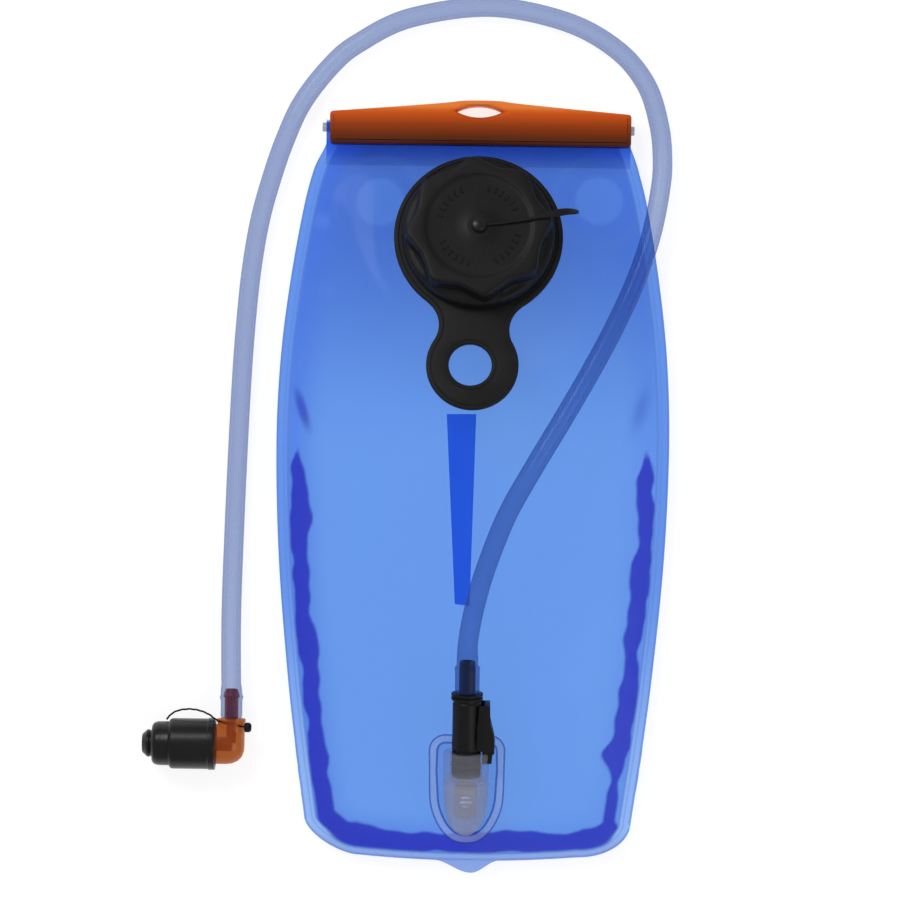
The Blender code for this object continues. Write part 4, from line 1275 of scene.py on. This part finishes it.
def make_elbow(mats):
    profile = [(2.3, -10.9), (6.5, -10.9), (6.5, -2.0), (6.9, -1.6), (6.9, -0.4), (6.5, 0.0),
               (3.3, 0.0), (3.3, 9.9), (3.9, 10.2), (3.9, 10.9), (2.9, 14.2), (2.3, 14.2)]
    upright = turned("upright", profile, mats["orange"], MOUTH, "Y")
    profile = [(0, -17.0), (5.6, -17.0), (5.6, -14.2), (4.6, -14.2), (4.6, -12.6), (5.6, -12.6),
               (5.6, -9.1), (9.2, -9.1), (9.6, -8.6), (9.6, -2.0), (9.2, 0.8), (8.0, 3.4),
               (6.0, 5.3), (3.4, 6.3), (0, 6.5)]
    elbow = turned("elbow_fitting", profile, mats["orange"], MOUTH, "X", VALVE_AT, 96, 0.35)
    combine(elbow, "UNION", upright)
    groove = cord_mesh("groove", [(-12, 0.1, 4.4), (0, -2.35, 4.4), (12, -4.8, 4.4)], 0.85, None,
                       MOUTH, 20)
    cut(elbow, drum("down", 2.3, -11.6, 20, MOUTH, "Y", steps=32),
        drum("side", 3.4, -22, 0.6, MOUTH, "X", VALVE_AT, 40), groove)
    give(elbow, "orange", "hose", "elbow")
    return elbow


def make_knob_and_cord(mats):
    profile = [(0.8, 6.4), (1.5, 6.4), (2.35, 7.0), (2.35, 9.0), (1.5, 9.9), (0, 10.0),
               (0, 8.0), (0.8, 8.0)]
    knob = turned("cord_knob", profile, mats["black"], MOUTH, "X", (0, -3.9, 4.4), 36)
    give(knob, "black", "hose", "tether_knob")
    route = [(7.5, -3.88, 4.4), (3.6, -3.1, 4.4), (0.0, -2.35, 4.4), (-4.0, -1.55, 4.4),
             (-7.0, -0.4, 4.2), (-10.5, 2.0, 3.4), (-15.0, 3.7, 2.2), (-20.0, 4.3, 1.2),
             (-25.0, 3.6, 0.5), (-28.6, 1.8, 0.1), (-31.0, -0.9, 0.0)]
    cord = cord_mesh("cover_cord", spaced(catmull(route, 10), 0.25), 0.42, mats["black"], MOUTH,
                     12, twist=2.6)
    give(cord, "black", None, "shield_tether")
    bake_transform(cord)
    return knob, cord


def make_cover(mats):
    """Pull-off cover: smooth skirt with a ring at its mouth, a step and a short nub."""
    profile = [(10.6, -7.5), (12.2, -7.5), (12.45, -7.9), (12.45, -10.6), (12.1, -10.9),
               (12.1, -28.0), (11.6, -29.1), (10.6, -29.5), (10.5, -34.8), (10.0, -36.6),
               (8.9, -37.6), (6.4, -37.8), (6.2, -38.6), (6.6, -39.0), (6.6, -40.0),
               (6.2, -40.4), (4.4, -42.4), (0, -42.6), (0, -36.6), (8.6, -36.4),
               (8.9, -36.0), (8.9, -28.8), (10.6, -27.8)]
    cover = turned("valve_cover", profile, mats["cover"], MOUTH, "X", VALVE_AT, 96)
    give(cover, "black", "shield", "dirt_shield")
    return cover


def make_bite_valve(mats):
    """Soft mouthpiece, pressed flatter towards its lips."""
    profile = [(8.4, -11.0), (9.9, -11.0), (9.9, -19.0), (7.8, -22.0), (6.8, -29.0),
               (7.6, -33.0), (6.4, -35.4), (0, -36.0), (0, -34.2), (4.6, -33.4), (4.4, -23.0),
               (8.4, -20.3)]
    bite = turned("bite_mouthpiece", profile, mats["silicone"], MOUTH, "X", VALVE_AT, 64, 0.6)
    middle = MOUTH.translation
    for vert in bite.data.vertices:
        flat = float(ramp((middle.x - vert.co.x) / MM, 20.5, 27.0))
        vert.co.z = middle.z + (vert.co.z - middle.z) * (1.0 - 0.3 * flat)
    give(bite, "silicone", "valve", "bite_valve")
    return bite


# ---------------- CAD pieces that stay

KEPT = {"cap_gasket": "rubber", "outlet_poppet": "white", "poppet_spring": "steel",
        "plug_oring": "rubber", "latch_pin": "steel", "core_oring": "rubber",
        "valve_core": "white"}


def finish_kept_nodes(mats):
    for name, key in KEPT.items():
        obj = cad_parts[name]
        obj.data.materials.clear()
        obj.data.materials.append(mats[key])


# ---------------- the whole bladder


def main():
    make_camera()
    make_stage()
    mats = make_materials()
    tube, line = make_tube(mats)
    make_films(mats)
    make_web(mats)
    make_bar(mats)
    make_filler_port(mats)
    make_cap(mats)
    make_button_and_strap(mats)
    make_outlet(mats)
    make_connector(mats)
    elbow = make_elbow(mats)
    knob, cord = make_knob_and_cord(mats)
    cover = make_cover(mats)
    bite = make_bite_valve(mats)
    finish_kept_nodes(mats)
    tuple(TUBE_ROUTE[0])
    [tuple(p) for p in line]


main()
